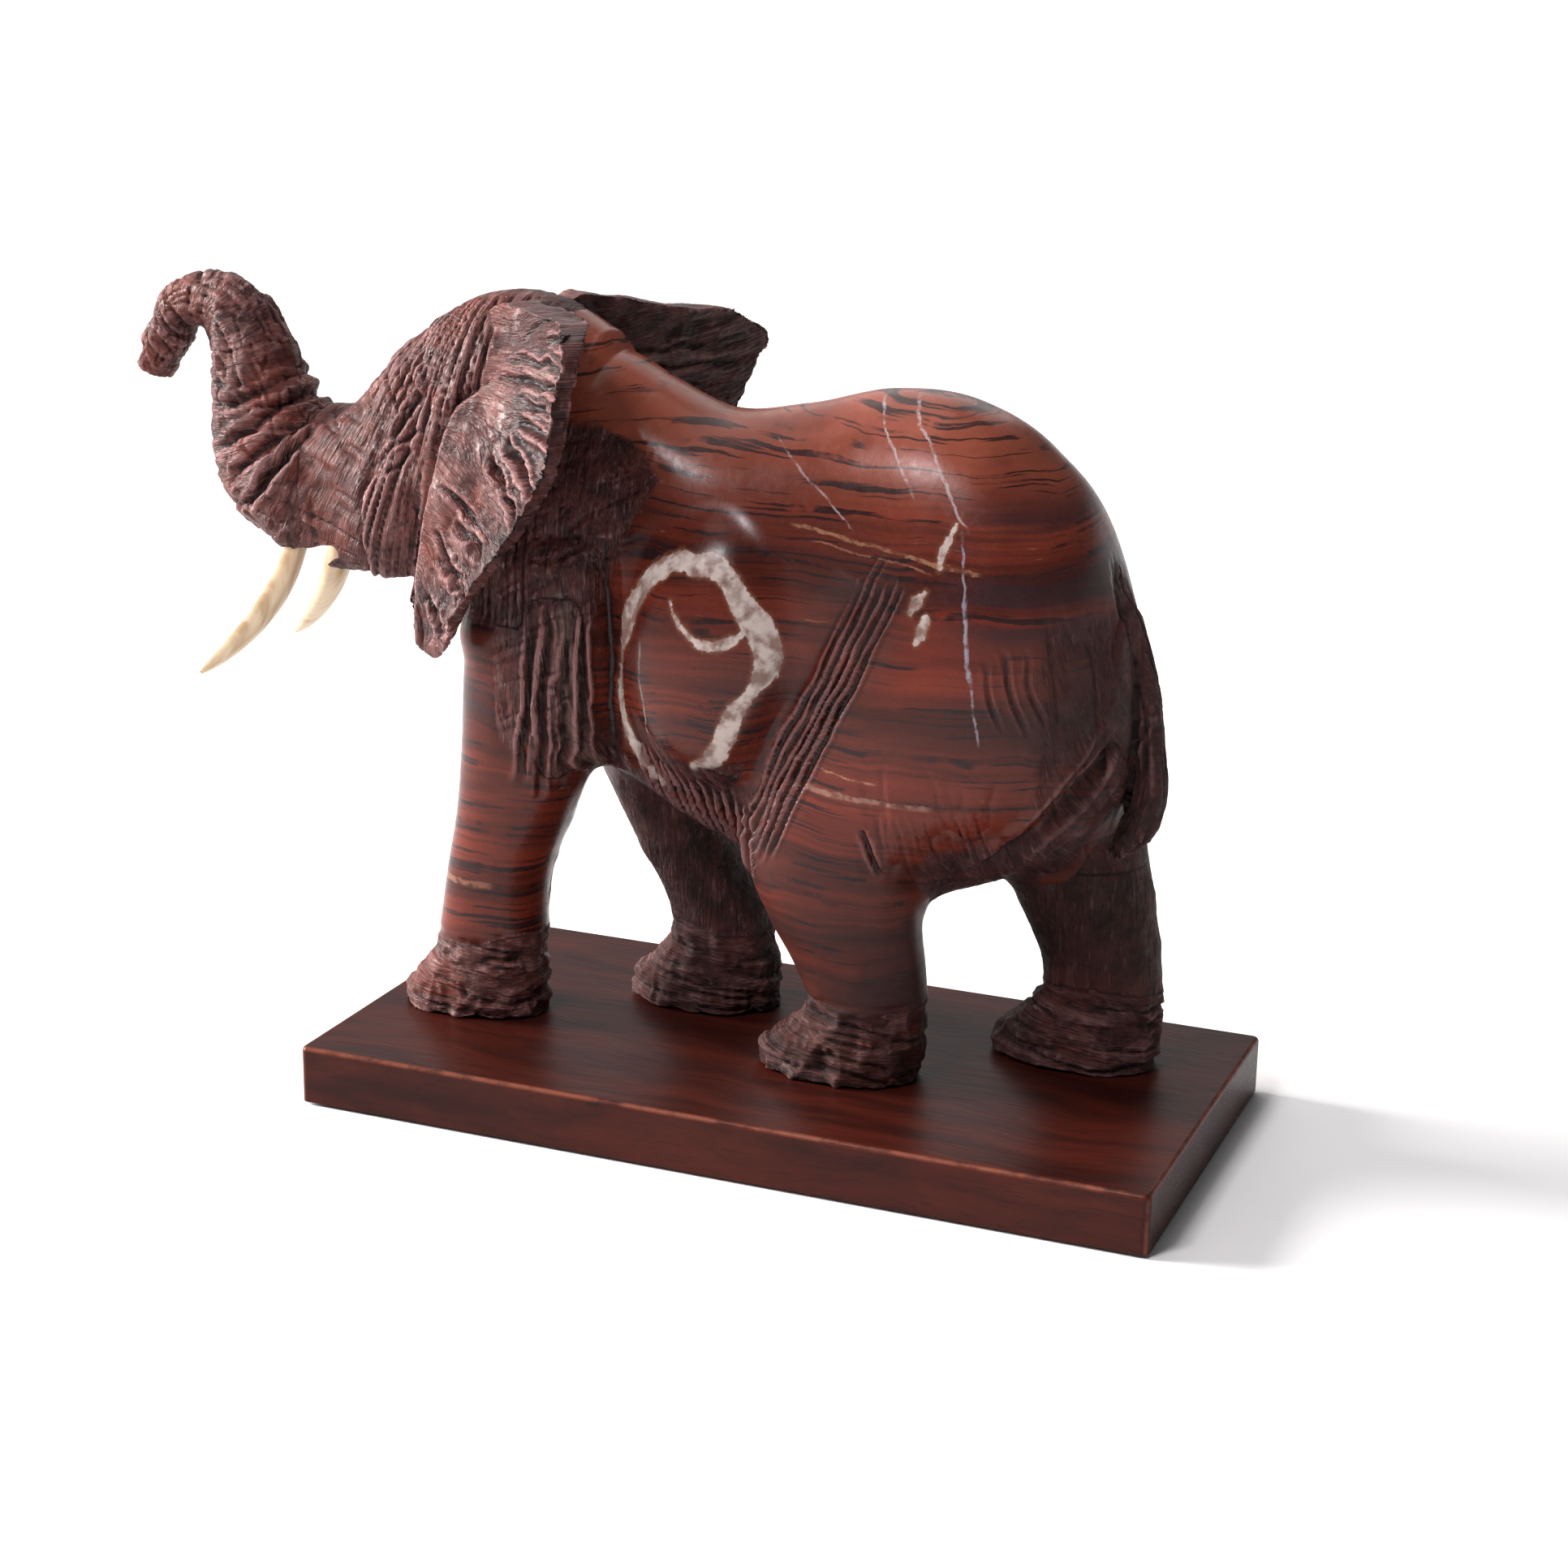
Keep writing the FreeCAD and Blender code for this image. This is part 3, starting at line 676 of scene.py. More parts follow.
def carve_belly(s):
    belly = ramp(-s.normals[:, 2], 0.35, 0.7) * ramp(s.z, 40.0, 56.0)
    s.roughen(0.8 * belly)
    s.carve(0.7 * np.abs(s.noise(0.12, 0.12, 0.12, 81)), belly)


def carve_feet(s):
    edge = 25.0 + 5.0 * noise(s.x * 0.06, s.y * 0.06, None, 91)
    foot = ramp(s.z, edge + 8.0, edge)
    layers = creases(s.x * 0.045, s.y * 0.045, (s.z + 0.12 * s.x) * 0.26, 92)
    s.carve(1.7 * layers ** 1.5, foot)
    chips = np.abs(s.noise(0.11, 0.11, 0.13, 93))
    chips = chips + 0.5 * np.abs(s.noise(0.25, 0.25, 0.3, 94))
    s.carve(2.2 * chips - 0.8, foot)
    s.roughen(foot)
    s.comb(foot, s.z * 1.2 + 0.15 * s.x, s.x + s.y, 9)
    inner = ramp(s.z + 22.0 * s.noise(0.05, 0.05, 0.03, 98), 105.0, 50.0)
    ragged = 0.5 * s.noise(0.06, 0.06, 0.05, 99)
    inner = inner * ramp(ragged - s.normals[:, 1] * s.side, -0.1, 0.6)
    far = ramp(s.z, 100.0, 70.0) * (s.y > MID_Y)
    s.roughen(0.8 * np.maximum(inner, far))
    s.carve(0.8 * np.abs(s.noise(0.1, 0.1, 0.07, 95)), np.maximum(inner, far))


def carve_tail(s):
    gap = bar_distance(s.x, s.y, s.z, TAIL_LINE, 1.1)
    tail = ramp(gap, 5.0, 1.0)
    length, beside = along_line(s.x, s.z, TAIL_LINE)
    strands = creases((beside + s.y) * 0.42, length * 0.035, (s.y - beside) * 0.2, 96)
    s.carve(1.1 * strands ** 1.5, tail)
    s.roughen(0.9 * tail)
    s.comb(tail, beside + s.y, length, 10)


# x, height, half width along the ring's outer stroke, its thick sweep and its inner curl
QUARTZ_LINES = (
    ((-18, 174, 3.0), (-24, 174.5, 2.8), (-31, 172, 2.6), (-38, 166, 2.9), (-43, 158, 3.0), (-47, 147, 2.9),
     (-49.5, 136, 2.3), (-51, 124, 2.0), (-50, 115, 1.9), (-48, 107, 1.8), (-44, 99, 1.8), (-38, 94, 1.0)),
    ((-20, 174, 3.2), (-13, 174, 3.6), (-8, 170, 3.0), (-3, 163, 3.2), (2.5, 156, 4.2), (6, 148, 3.9),
     (5.5, 141, 3.2), (1.5, 134, 1.9), (-4, 127, 2.8), (-8, 118, 3.1), (-13, 110, 3.2), (-20, 105, 1.8)),
    ((-27, 162, 0.3), (-23, 155, 0.8), (-17, 150.5, 1.2), (-11, 149, 1.5), (-5, 151, 1.2), (0, 155, 0.8)),
)
# the same of the loose flecks behind it
FLECKS = (
    ((64, 190, 0.4), (62, 185, 1.5), (61, 180, 0.9)),
    ((57.5, 172, 0.8), (55, 169, 1.9), (53, 165, 1.0)),
    ((58.5, 164, 1.2), (57.5, 159, 1.5), (56, 156, 0.4)),
    ((66, 196, 0.3), (64.5, 192, 0.8), (64, 190, 0.3)),
)


def ring_gap(s):
    """Distance beyond the quartz ring on the left flank's bulge, negative inside it."""
    best = np.full(s.x.shape, 9.0, dtype=np.float32)
    for line in [smooth_path(points, 8) for points in QUARTZ_LINES] + [np.array(fleck) for fleck in FLECKS]:
        for start, end in zip(line[:-1], line[1:]):
            gap, share = along_piece(s.x, s.z, start, end)
            best = np.minimum(best, gap - (start[2] + (end[2] - start[2]) * share))
    return np.where(s.y < MID_Y - 10.0, best, 9.0)


def hollows(points, quads, normals, rounds=2):
    """How far each point lies below (positive) or above its neighbours, in millimetres."""
    starts = quads.reshape(-1)
    ends = np.roll(quads, -1, axis=1).reshape(-1)
    both, other = np.concatenate([starts, ends]), np.concatenate([ends, starts])
    count = np.bincount(both, minlength=len(points)).astype(np.float32)
    sums = [np.bincount(both, weights=points[other, i], minlength=len(points)) for i in range(3)]
    mean = np.stack(sums, axis=1)
    value = np.einsum("ij,ij->i", mean / count[:, None] - points, normals)
    for _ in range(rounds):
        value = 0.5 * value + 0.5 * np.bincount(both, weights=value[other], minlength=len(points)) / count
    return value.astype(np.float32)


def carve_all(points, normals, quads):
    """Carves the whole elephant; returns its points and the values its material reads."""
    s = Surface(points, normals)
    left = s.y < MID_Y
    (across, _, lift, _), (across_right, _, lift_right, _) = (
        ear_frame(s.x, s.y, s.z, side) for side in (LEFT, RIGHT))
    across, lift = np.where(left, across, across_right), np.where(left, lift, lift_right)
    ear = np.where(left, ear_distance(s.x, s.y, s.z, LEFT), ear_distance(s.x, s.y, s.z, RIGHT))
    for carve_part in (carve_flank, carve_hem, carve_rump, carve_chest, carve_belly):
        carve_part(s)
    carve_face(s, ear)
    carve_ears(s, across, lift, ear)
    carve_trunk(s)
    carve_feet(s)
    carve_tail(s)
    grit = s.noise(0.45, 0.45, 0.45, 97)
    s.carve(0.32 * np.abs(grit), s.rough)
    moved = s.points + s.normals * s.lift[:, None]
    moved[:, 2] = np.maximum(moved[:, 2], 0.0)
    values = {"rough": s.rough, "hollow": hollows(moved, quads, s.normals), "ring": ring_gap(s),
              "pale": s.pale, "across": s.strand[:, 0], "along": s.strand[:, 1], "other": s.strand[:, 2]}
    return moved, values


# ---------------------------------------------------------------- node helper and materials

class Graph:
    """Builds a material's nodes from short calls; every value is a socket or a number."""

    def __init__(self, name):
        self.material = bpy.data.materials.new(name)
        self.material.use_nodes = True
        self.tree = self.material.node_tree
        self.shader = self.tree.nodes["Principled BSDF"]

    def node(self, kind, **settings):
        made = self.tree.nodes.new(kind)
        for key, value in settings.items():
            setattr(made, key, value)
        return made

    def feed(self, socket, value):
        if isinstance(value, bpy.types.NodeSocket):
            self.tree.links.new(value, socket)
        elif isinstance(value, (tuple, list)) and len(value) == 3 and socket.type == "RGBA":
            socket.default_value = (*value, 1.0)
        else:
            socket.default_value = value

    def set(self, name, value):
        """Gives the shader's own input a socket, number or colour."""
        self.feed(self.shader.inputs[name], value)

    def math(self, operation, a, b=0.0):
        made = self.node("ShaderNodeMath", operation=operation)
        self.feed(made.inputs[0], a)
        self.feed(made.inputs[1], b)
        return made.outputs[0]

    def times(self, first, *others):
        for other in others:
            first = self.math("MULTIPLY", first, other)
        return first

    def plus(self, first, *others):
        for other in others:
            first = self.math("ADD", first, other)
        return first

    def place_mm(self):
        """The point in millimetres from the middle of the plinth's top face."""
        coordinates = self.node("ShaderNodeTexCoord").outputs["Object"]
        scaled = self.node("ShaderNodeVectorMath", operation="SCALE")
        self.feed(scaled.inputs[0], coordinates)
        scaled.inputs["Scale"].default_value = 1.0 / MM
        moved = self.node("ShaderNodeVectorMath", operation="SUBTRACT")
        self.feed(moved.inputs[0], scaled.outputs[0])
        moved.inputs[1].default_value = tuple(value / MM for value in DECK_CENTER)
        return moved.outputs[0]

    def split(self, vector):
        made = self.node("ShaderNodeSeparateXYZ")
        self.feed(made.inputs[0], vector)
        return made.outputs[0], made.outputs[1], made.outputs[2]

    def vector(self, x, y, z):
        made = self.node("ShaderNodeCombineXYZ")
        for socket, value in zip(made.inputs, (x, y, z)):
            self.feed(socket, value)
        return made.outputs[0]

    def noise(self, vector, scale=1.0, detail=2.0, roughness=0.55, distortion=0.0):
        made = self.node("ShaderNodeTexNoise")
        self.feed(made.inputs["Vector"], vector)
        made.inputs["Scale"].default_value = scale
        made.inputs["Detail"].default_value = detail
        made.inputs["Roughness"].default_value = roughness
        made.inputs["Distortion"].default_value = distortion
        return made.outputs[0]

    def wobble(self, vector, size, scale, detail, roughness=0.55):
        """Noise about zero, size times what the noise node gives."""
        return self.times(self.math("SUBTRACT", self.noise(vector, scale, detail, roughness), 0.5), size)

    def span(self, value, low, high, out_low=0.0, out_high=1.0):
        made = self.node("ShaderNodeMapRange", interpolation_type="SMOOTHSTEP")
        for index, item in enumerate((value, low, high, out_low, out_high)):
            self.feed(made.inputs[index], item)
        return made.outputs[0]

    def between(self, value, low, high, fade=4.0):
        """1 from low to high, fading to 0 at both ends."""
        return self.times(self.span(value, low, low + fade), self.span(value, high, high - fade))

    def mix(self, share, a, b):
        made = self.node("ShaderNodeMix", data_type="RGBA", blend_type="MIX")
        self.feed(made.inputs[0], share)
        self.feed(made.inputs[6], a)
        self.feed(made.inputs[7], b)
        return made.outputs[2]

    def tint(self, color, share, most, paint):
        """A colour with paint, in 0 to 255 values, over it by share times most."""
        return self.mix(self.times(share, most), color, tone(*paint))

    def blend(self, share, a, b):
        made = self.node("ShaderNodeMix", data_type="FLOAT")
        self.feed(made.inputs[0], share)
        self.feed(made.inputs[2], a)
        self.feed(made.inputs[3], b)
        return made.outputs[0]

    def value(self, name):
        return self.node("ShaderNodeAttribute", attribute_name=name).outputs["Fac"]

    def thin(self, value, center, half_width):
        """1 on a contour of a value, fading to 0 at half_width beside it."""
        away = self.math("ABSOLUTE", self.math("SUBTRACT", value, center))
        return self.span(away, half_width, half_width * 0.35)

    def bump(self, height, strength, distance):
        made = self.node("ShaderNodeBump")
        self.feed(made.inputs["Height"], height)
        self.feed(made.inputs["Strength"], strength)
        made.inputs["Distance"].default_value = distance
        self.set("Normal", made.outputs[0])


def tone(red, green, blue):
    """Linear colour from display values of 0 to 255."""
    shares = (value / 255 for value in (red, green, blue))
    return tuple(((v + 0.055) / 1.055) ** 2.4 if v > 10 / 255 else v / 12.92 for v in shares)


def stone_bands(g, place):
    """Gives a noise that is drawn out along the stone's wavy, nearly level layers."""
    x, y, z = g.split(place)
    layer = g.plus(z, g.times(g.noise(place, 0.012, 2.0), 20.0), g.times(g.noise(place, 0.05, 2.0), 2.2),
                   g.times(g.noise(place, 0.2, 2.0), 0.7))

    def bands(across, along, detail, shift):
        stretched = g.vector(g.plus(g.times(x, along), shift), g.times(y, along), g.times(layer, across))
        return g.noise(stretched, 1.0, detail, 0.6)

    return bands


def dark_layers(g, place, bands):
    """Broad dark layers at the hip and the chest."""
    x, _, z = g.split(place)
    hip = g.times(g.span(x, 48.0, 84.0), g.span(z, 150.0, 164.0), g.span(z, 206.0, 192.0))
    chest = g.times(g.span(x, -62.0, -84.0), g.span(z, 108.0, 120.0), g.span(z, 172.0, 150.0))
    return g.times(g.math("MAXIMUM", hip, chest), g.span(bands(0.075, 0.006, 3.0, 70.0), 0.40, 0.54))


def polished_color(g, place, bands, dark):
    """Red layers with thin black and tan ones, and painted light that makes the top of the back lighter."""
    z = g.split(place)[2]
    color = g.mix(g.span(bands(0.05, 0.004, 4.0, 5.0), 0.36, 0.64), tone(56, 22, 16), tone(98, 39, 27))
    color = g.tint(color, g.span(bands(0.45, 0.010, 4.0, 21.0), 0.46, 0.66), 0.6, (50, 21, 17))
    # painted light: the top of the back is lightened in patches, standing in for the light falling on it
    patchy = g.span(g.noise(place, 0.03, 4.0), 0.30, 0.60, 0.30, 0.75)
    color = g.tint(color, g.span(z, 178.0, 222.0), patchy, (138, 72, 54))
    tan_patch = g.span(g.noise(place, 0.035, 3.0, 0.6, 1.0), 0.53, 0.60)
    tan_line = g.times(g.span(bands(0.34, 0.014, 4.0, 52.0), 0.64, 0.70), tan_patch)
    color = g.tint(color, tan_line, 0.6, (158, 104, 78))
    black_patch = g.span(g.noise(place, 0.025, 4.0), 0.42, 0.50)
    black = g.times(g.span(bands(0.27, 0.009, 3.0, 9.0), 0.59, 0.615), black_patch)
    fine_patch = g.span(g.noise(place, 0.03, 4.0, 0.6, 0.5), 0.44, 0.52)
    fine_black = g.times(g.span(bands(0.62, 0.014, 2.0, 33.0), 0.58, 0.62), fine_patch)
    color = g.tint(color, g.math("MAXIMUM", black, fine_black), 0.88, (27, 19, 21))
    return g.tint(color, dark, 0.85, (42, 29, 32))


def quartz_over(g, place, color):
    """Lays the mottled quartz ring, with its brown halo, over a colour."""
    gap = g.plus(g.value("ring"), g.wobble(place, 4.6, 0.11, 6.0, 0.68), g.wobble(place, 2.0, 0.42, 3.0, 0.6))
    color = g.tint(color, g.span(gap, 1.5, 0.3), 0.55, (104, 62, 44))
    mottle = g.span(g.noise(place, 0.16, 4.0), 0.4, 0.62)
    return g.mix(g.span(gap, 0.35, -0.25), color, g.mix(mottle, tone(174, 160, 153), tone(116, 92, 84)))


# normal in x and z, offset along it, span of z, span of x, half width, colour
VEINS = (
    ((0.604, 0.797), 168.5, (186.0, 214.0), (-4.0, 32.0), 0.45, (150, 128, 128)),
    ((0.816, 0.578), 156.0, (198.0, 229.0), (26.0, 54.0), 0.55, (146, 132, 130)),
    ((0.797, 0.603), 170.5, (188.0, 229.0), (34.0, 70.0), 0.60, (150, 134, 134)),
    ((0.987, 0.159), 96.7, (124.0, 192.0), (58.0, 84.0), 0.50, (132, 120, 128)),
    ((0.987, 0.159), 96.9, (144.0, 172.0), (60.0, 84.0), 1.00, (128, 122, 132)),
    ((1.00, 0.05), -31.5, (112.0, 148.0), (-50.0, -28.0), 0.50, (112, 108, 104)),
    ((0.147, 0.989), 187.5, (168.0, 200.0), (8.0, 76.0), 0.85, (140, 100, 76)),
    ((0.120, 0.993), 184.0, (168.0, 200.0), (16.0, 60.0), 0.45, (128, 84, 66)),
    ((0.105, 0.994), 177.0, (160.0, 196.0), (-2.0, 26.0), 0.75, (22, 16, 17)),
    ((0.05, 0.999), 104.8, (92.0, 116.0), (10.0, 64.0), 1.25, (132, 96, 82)),
    ((0.10, 0.995), 113.0, (100.0, 124.0), (8.0, 46.0), 0.50, (140, 96, 78)),
    ((0.05, 0.99), 45.0, (36.0, 56.0), (-130.0, -98.0), 1.60, (126, 84, 66)),
)


def veins_over(g, place, color):
    """Lays thin mineral lines over a colour, each one a wavy plane square to the flank."""
    x, _, z = g.split(place)
    broken = g.span(g.noise(place, 0.22, 4.0, 0.6), 0.38, 0.56, 0.15, 1.0)
    bend = g.wobble(place, 5.0, 0.07, 6.0, 0.68)
    for (normal_x, normal_z), offset, heights, places, half_width, paint in VEINS:
        away = g.plus(g.times(x, normal_x), g.times(z, normal_z), -offset, bend)
        line = g.times(g.span(g.math("ABSOLUTE", away), half_width, half_width * 0.4), broken,
                       g.between(z, *heights), g.between(x, *places))
        color = g.tint(color, line, 0.8, paint)
    return color


def chisel_marks(g):
    """Streaks that run the way each part was combed, the lines along their grooves that take painted shade,
    the chips between them, and their relief.
    """
    across, along, other = (g.value(name) for name in ("across", "along", "other"))

    def streaks(fine, stretch, shift):
        stretched = g.vector(g.times(across, fine), g.times(along, stretch), g.plus(other, shift))
        return g.noise(stretched, 1.0, 4.0, 0.6)

    marks, fine_marks = streaks(0.34, 0.045, 0.0), streaks(0.8, 0.12, 7.0)
    cells = g.node("ShaderNodeTexVoronoi", feature="F1")
    cells.inputs["Scale"].default_value = 1.0
    moved = g.times(g.plus(across, g.times(fine_marks, 2.0)), 0.22)
    g.feed(cells.inputs["Vector"], g.vector(moved, g.times(along, 0.07), g.times(other, 0.3)))
    chips = g.split(cells.outputs["Color"])[0]
    # painted shade: thin lines at the bottoms of the bump's grooves, darkened in the carved colour
    shaded_cut_lines = g.thin(marks, 0.5, 0.022)
    depth = g.math("MINIMUM", g.math("ABSOLUTE", g.math("SUBTRACT", marks, 0.5)), 0.12)
    relief = g.plus(g.times(depth, 5.0), g.times(chips, 0.25), g.times(fine_marks, 0.2))
    return shaded_cut_lines, fine_marks, chips, relief


def carved_color(g, place, dark, shaded_cut_lines, fine_marks, chips):
    """Mauve, matt stone where the chisel worked, darker on the body than on the head and feet."""
    x, _, z = g.split(place)
    grain = g.noise(place, 0.12, 5.0, 0.65)
    color = g.mix(g.span(grain, 0.36, 0.64), tone(55, 27, 24), tone(96, 54, 49))
    pale = g.plus(g.value("pale"), g.wobble(place, 1.4, 0.13, 5.0, 0.65))
    for share, most, paint in (
        (g.span(g.noise(place, 0.035, 3.0), 0.50, 0.66), 1.0, (96, 44, 34)),
        (g.span(chips, 0.60, 0.95), 0.30, (138, 100, 95)),
        (g.span(chips, 0.38, 0.05), 0.40, (48, 24, 22)),
        (g.span(g.noise(place, 0.08, 5.0, 0.7), 0.62, 0.70), 0.7, (176, 152, 148)),
        (dark, 0.6, (40, 28, 30)),
        (g.span(pale, 0.42, 0.62), 0.7, (150, 128, 116)),
    ):
        color = g.tint(color, share, most, paint)
    body = g.times(g.span(x, -96.0, -84.0), g.span(z, 30.0, 40.0), 0.75)
    color = g.mix(body, color, g.mix(g.span(grain, 0.38, 0.62), tone(33, 16, 16), tone(62, 28, 25)))
    color = g.tint(color, g.span(fine_marks, 0.56, 0.70), 0.25, (160, 124, 120))
    # painted shade: the bottoms of the chisel grooves darkened
    return g.tint(color, shaded_cut_lines, 0.42, (38, 20, 19))


def painted_shade_and_dull_share(g, place):
    """Where painted shade darkens the stone and its finish is duller: low on the legs, at the rear and round
    the hip.
    """
    x, _, z = g.split(place)
    low = g.times(g.span(z, 120.0, 30.0), g.span(x, -84.0, -50.0))
    rear = g.times(g.span(x, 70.0, 104.0), g.span(z, 190.0, 150.0))
    from_hip = g.node("ShaderNodeVectorMath", operation="LENGTH")
    beside, above = g.math("SUBTRACT", x, 36.0), g.math("SUBTRACT", z, 158.0)
    g.feed(from_hip.inputs[0], g.vector(g.times(beside, 0.036), g.times(above, 0.030), 0.0))
    hip = g.times(g.span(from_hip.outputs["Value"], 1.0, 0.2), 0.8)
    return g.math("MAXIMUM", g.math("MAXIMUM", low, rear), hip)


def red_stone():
    """Polished banded stone and carved mauve stone, shared out by what the carving stored."""
    g = Graph("banded_red_stone_carved")
    place = g.place_mm()
    bands = stone_bands(g, place)
    dark = dark_layers(g, place, bands)
    polished = quartz_over(g, place, polished_color(g, place, bands, dark))
    polished = veins_over(g, place, polished)
    shaded_cut_lines, fine_marks, chips, relief = chisel_marks(g)
    carved = carved_color(g, place, dark, shaded_cut_lines, fine_marks, chips)
    share = g.span(g.plus(g.value("rough"), g.wobble(place, 0.7, 0.12, 4.0)), 0.30, 0.62)
    hollow = g.value("hollow")
    color = g.mix(share, polished, carved)
    # painted shade: darker where the surface lies below its neighbours, in folds and cuts
    color = g.tint(color, g.span(hollow, 0.01, 0.16), 0.9, (26, 13, 13))
    # painted highlight: lighter lilac colour where the surface stands above its neighbours, on ridges and
    # edges
    color = g.tint(color, g.span(hollow, -0.02, -0.18), g.plus(g.times(share, 0.22), 0.26), (156, 114, 112))
    painted_shade_and_dull = painted_shade_and_dull_share(g, place)
    patchy = g.span(g.noise(place, 0.04, 3.0), 0.30, 0.60, 0.30, 0.62)
    # painted shade: darker colour low on the legs, at the rear and in the hollow round the hip
    g.set("Base Color", g.tint(color, painted_shade_and_dull, patchy, (26, 14, 12)))
    wear = g.noise(place, 0.3, 3.0)
    dull = g.blend(share, g.span(wear, 0.3, 0.7, 0.22, 0.31), g.span(wear, 0.3, 0.7, 0.38, 0.56))
    g.set("Roughness", g.plus(g.times(painted_shade_and_dull, 0.24), dull))
    g.set("Specular IOR Level", 0.19)
    grit = g.noise(place, 0.7, 4.0, 0.7)
    g.bump(g.plus(relief, g.times(grit, 0.22)), g.blend(share, 0.02, 0.9), 1.1 * MM)
    return g.material


def ivory_resin():
    """Cream resin with faint lengthwise streaks, warmer near the root."""
    g = Graph("ivory_resin_polished")
    place = g.place_mm()
    x, y, z = g.split(place)
    streak = g.noise(g.vector(g.times(x, 0.05), g.times(y, 0.5), g.times(z, 0.05)), 1.0, 3.0)
    color = g.mix(g.span(streak, 0.35, 0.7), tone(206, 186, 156), tone(168, 140, 106))
    g.set("Base Color", g.tint(color, g.span(z, 136.0, 156.0), 0.35, (196, 160, 122)))
    g.set("Roughness", 0.28)
    return g.material


def mahogany():
    """Dark wood with grain along X, fine pores, and lighter top edges in places: a painted highlight where
    the edges catch light, and wear.
    """
    g = Graph("mahogany_satin")
    place = g.place_mm()
    x, y, z = g.split(place)
    across = g.plus(y, g.times(g.noise(place, 0.012, 2.0), 30.0), g.times(z, 0.6))
    figure = g.noise(g.vector(g.times(x, 0.010), g.times(across, 0.075), g.times(z, 0.04)), 1.0, 4.0, 0.6)
    pores = g.noise(g.vector(g.times(x, 0.035), g.times(across, 1.1), g.times(z, 1.1)), 1.0, 3.0, 0.6)
    color = g.mix(g.span(figure, 0.34, 0.66), tone(40, 13, 9), tone(63, 22, 14))
    color = g.tint(color, g.span(pores, 0.54, 0.70), 0.5, (22, 9, 8))
    half_length, half_width = (0.5 * (PLINTH_HIGH[i] - PLINTH_LOW[i]) / MM for i in (0, 1))
    end_edge = g.span(g.math("ABSOLUTE", x), half_length - 1.8, half_length - 0.7)
    side_edge = g.span(g.math("ABSOLUTE", y), half_width - 1.8, half_width - 0.7)
    top_edge = g.times(g.span(z, -1.8, -0.6), g.math("MAXIMUM", end_edge, side_edge))
    lit_and_worn_edge = g.math("MAXIMUM", top_edge, g.times(end_edge, side_edge))
    in_places = g.span(g.noise(place, 0.09, 5.0, 0.65), 0.36, 0.60, 0.15, 0.85)
    # painted highlight and wear: a lighter line along the top edges, broken up in places
    g.set("Base Color", g.tint(color, lit_and_worn_edge, in_places, (112, 60, 44)))
    g.set("Roughness", g.span(pores, 0.3, 0.7, 0.30, 0.44))
    g.set("Specular IOR Level", 0.12)
    g.bump(pores, 0.12, 0.3 * MM)
    return g.material


def baize():
    g = Graph("green_baize_felt")
    fuzz = g.noise(g.place_mm(), 1.4, 4.0, 0.7)
    g.set("Base Color", g.mix(g.span(fuzz, 0.3, 0.7), tone(20, 58, 34), tone(38, 92, 56)))
    g.set("Roughness", 0.95)
    g.bump(fuzz, 0.6, 0.4 * MM)
    return g.material


def zinc():
    g = Graph("zinc_plated_steel")
    mottled = g.noise(g.place_mm(), 0.6, 3.0)
    g.set("Base Color", g.mix(mottled, tone(168, 170, 172), tone(196, 197, 196)))
    g.set("Metallic", 1.0)
    g.set("Roughness", 0.34)
    return g.material


def plain_floor():
    g = Graph("pale_floor")
    g.set("Base Color", (0.90, 0.90, 0.90))
    g.set("Roughness", 0.9)
    g.set("Specular IOR Level", 0.0)
    return g.material


# ---------------------------------------------------------------- the pieces

def build_carving(material):
    """The carved stone as one closed mesh with the values its material reads."""
    points, quads = base_mesh()
    points, quads = split_quads(points, quads)
    points, normals = settle(points, 2)
    points, values = carve_all(points, normals, quads)
    points = points * MM + np.array(DECK_CENTER)
    mesh = bpy.data.meshes.new("elephant_sculpt")
    mesh.vertices.add(len(points))
    mesh.vertices.foreach_set("co", points.astype(np.float32).ravel())
    mesh.loops.add(quads.size)
    mesh.loops.foreach_set("vertex_index", quads.astype(np.int32).ravel())
    mesh.polygons.add(len(quads))
    mesh.polygons.foreach_set("loop_start", np.arange(0, quads.size, 4, dtype=np.int32))
    mesh.update(calc_edges=True)
    mesh.validate()
    for name, numbers in values.items():
        layer = mesh.attributes.new(name, "FLOAT", "POINT")
        layer.data.foreach_set("value", numbers.astype(np.float32))
    mesh.materials.append(material)
    mesh.shade_smooth()
    piece = bpy.data.objects.new("elephant_sculpt", mesh)
    bpy.context.scene.collection.objects.link(piece)
    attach(piece, "root")
    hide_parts("elephant_carving")
    return piece


def repaint(node, material):
    """Gives a kept CAD node a better material."""
    mesh_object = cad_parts[node]
    for holder in mesh_object.material_slots:
        holder.material = material
    if not mesh_object.material_slots:
        mesh_object.data.materials.append(material)


# ---------------------------------------------------------------- camera, light and floor

def look_from(azimuth, elevation, roll, distance, target, lens):
    """A camera round the object: azimuth 0 looks along +Y, 90 along -X."""
    a, e, r = (math.radians(v) for v in (azimuth, elevation, roll))
    back = np.array([math.sin(a) * math.cos(e), -math.cos(a) * math.cos(e), math.sin(e)])
    right = np.array([math.cos(a), math.sin(a), 0.0])
    up = np.cross(back, right)
    right, up = right * math.cos(r) + up * math.sin(r), up * math.cos(r) - right * math.sin(r)
    data = bpy.data.cameras.new("camera")
    data.lens = lens
    data.sensor_width = 36.0
    data.clip_start, data.clip_end = 0.01, 400.0
    camera = bpy.data.objects.new("camera", data)
    spot = np.array(target) + back * distance
    turned = np.eye(4)
    turned[:3, 0], turned[:3, 1], turned[:3, 2], turned[:3, 3] = right, up, back, spot
    camera.matrix_world = Matrix(turned)
    bpy.context.scene.collection.objects.link(camera)
    bpy.context.scene.camera = camera


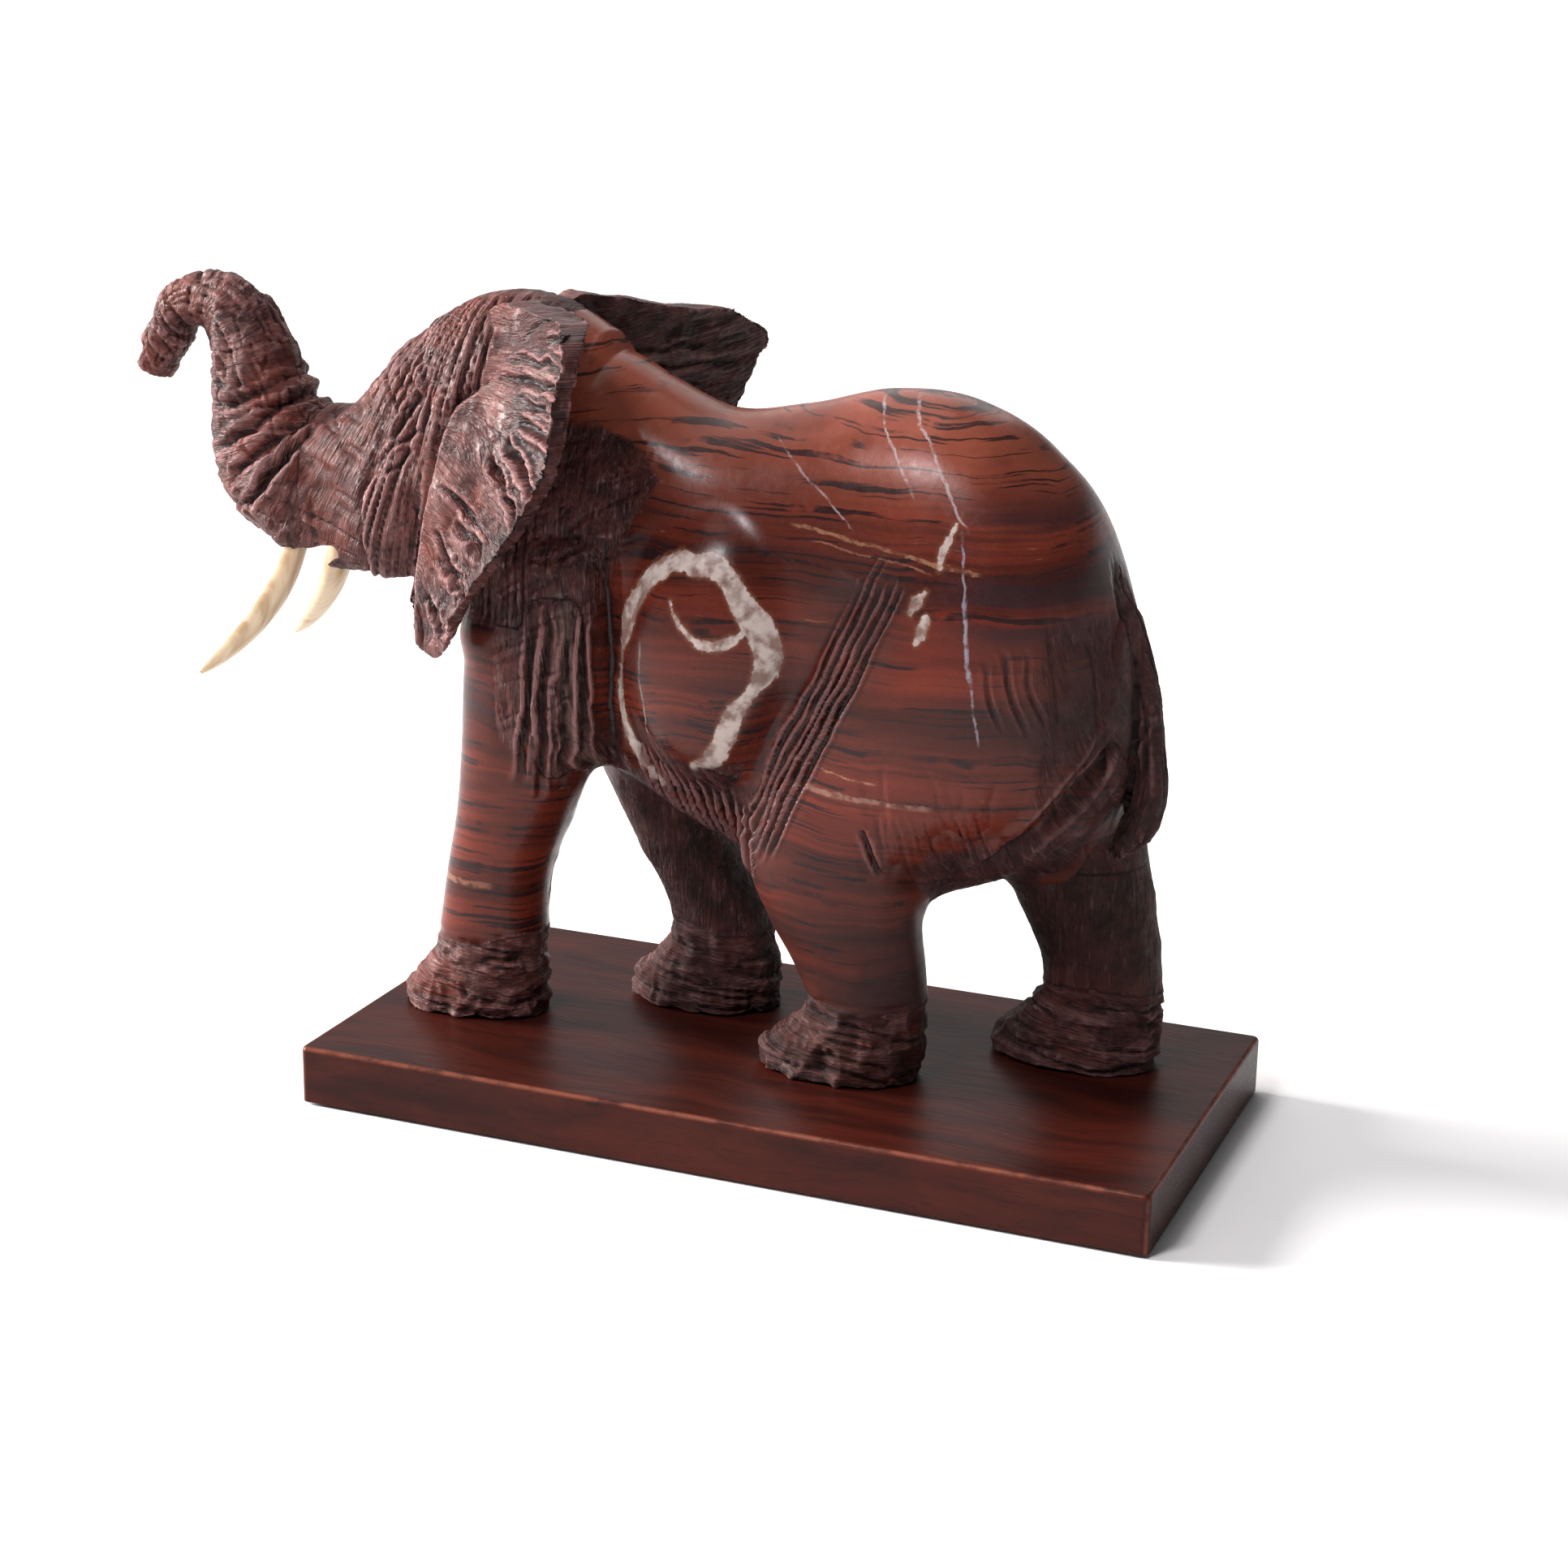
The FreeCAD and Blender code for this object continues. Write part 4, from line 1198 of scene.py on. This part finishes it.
def soft_light(name, direction, distance, size, power, color, target, turn=0.0):
    """A rectangular light facing the target from a direction, turned in its own plane by some degrees."""
    data = bpy.data.lights.new(name, "AREA")
    data.shape = "RECTANGLE"
    data.size, data.size_y = size
    data.energy = power
    data.color = color
    light = bpy.data.objects.new(name, data)
    way = np.array(direction) / np.linalg.norm(direction)
    side = np.cross([0.0, 0.0, 1.0], way)
    side = side / np.linalg.norm(side)
    turned = np.eye(4)
    rise = np.cross(way, side)
    c, s = math.cos(math.radians(turn)), math.sin(math.radians(turn))
    turned[:3, 0], turned[:3, 1], turned[:3, 2] = side * c + rise * s, rise * c - side * s, way
    turned[:3, 3] = np.array(target) + way * distance
    light.matrix_world = Matrix(turned)
    bpy.context.scene.collection.objects.link(light)


def sun_light(name, direction, strength, angle, color):
    """A distant soft light from a direction, which lights the floor evenly."""
    data = bpy.data.lights.new(name, "SUN")
    data.energy = strength
    data.angle = math.radians(angle)
    data.color = color
    light = bpy.data.objects.new(name, data)
    light.rotation_euler = Vector(direction).to_track_quat("Z", "Y").to_euler()
    bpy.context.scene.collection.objects.link(light)


def stage_set():
    bpy.ops.mesh.primitive_plane_add(size=120.0, location=(0.0, 0.0, -0.0002))
    floor = bpy.context.object
    floor.name = "pale_floor"
    floor.data.materials.append(plain_floor())
    # the sky's strength falls from 0.9 near the horizon to 0.1 overhead
    world = bpy.data.worlds.new("studio")
    world.use_nodes = True
    backdrop = world.node_tree.nodes["Background"]
    up = world.node_tree.nodes.new("ShaderNodeSeparateXYZ")
    ways = world.node_tree.nodes.new("ShaderNodeTexCoord")
    world.node_tree.links.new(ways.outputs["Generated"], up.inputs[0])
    fade = world.node_tree.nodes.new("ShaderNodeMapRange")
    world.node_tree.links.new(up.outputs[2], fade.inputs[0])
    for index, value in enumerate((0.06, 0.22, 0.90, 0.10)):
        fade.inputs[index + 1].default_value = value
    world.node_tree.links.new(fade.outputs[0], backdrop.inputs[1])
    backdrop.inputs[0].default_value = (0.97, 0.98, 1.0, 1.0)
    bpy.context.scene.world = world
    middle = (DECK_CENTER[0], DECK_CENTER[1], DECK_CENTER[2] + 0.12)
    sun_light("key", (-0.93, -0.12, 0.34), 10.0, 26.0, (1.0, 0.97, 0.95))
    soft_light("window", (-0.22, -0.62, 0.76), 1.3, (0.36, 0.15), 11.0, (1.0, 0.96, 1.0), middle, 30.0)
    soft_light("back", (-0.36, 0.70, 0.62), 1.6, (1.6, 1.2), 8.0, (1.0, 0.97, 0.96), middle)
    soft_light("top", (-0.30, 0.10, 0.95), 1.5, (1.2, 1.0), 7.0, (1.0, 0.97, 0.96), middle)
    look_from(21.70, 16.46, 1.02, 0.9726, (-0.0025, 0.0, DECK_CENTER[2] + 0.0927), 66.0)
    bpy.context.scene.view_settings.view_transform = "Standard"


# ---------------------------------------------------------------- the scene

build_carving(red_stone())
repaint("plinth", mahogany())
repaint("base_felt", baize())
for tusk_node in ("left_tusk", "right_tusk"):
    repaint(tusk_node, ivory_resin())
for steel_node in ("foot_studs", "stud_washers", "stud_nuts"):
    repaint(steel_node, zinc())
stage_set()
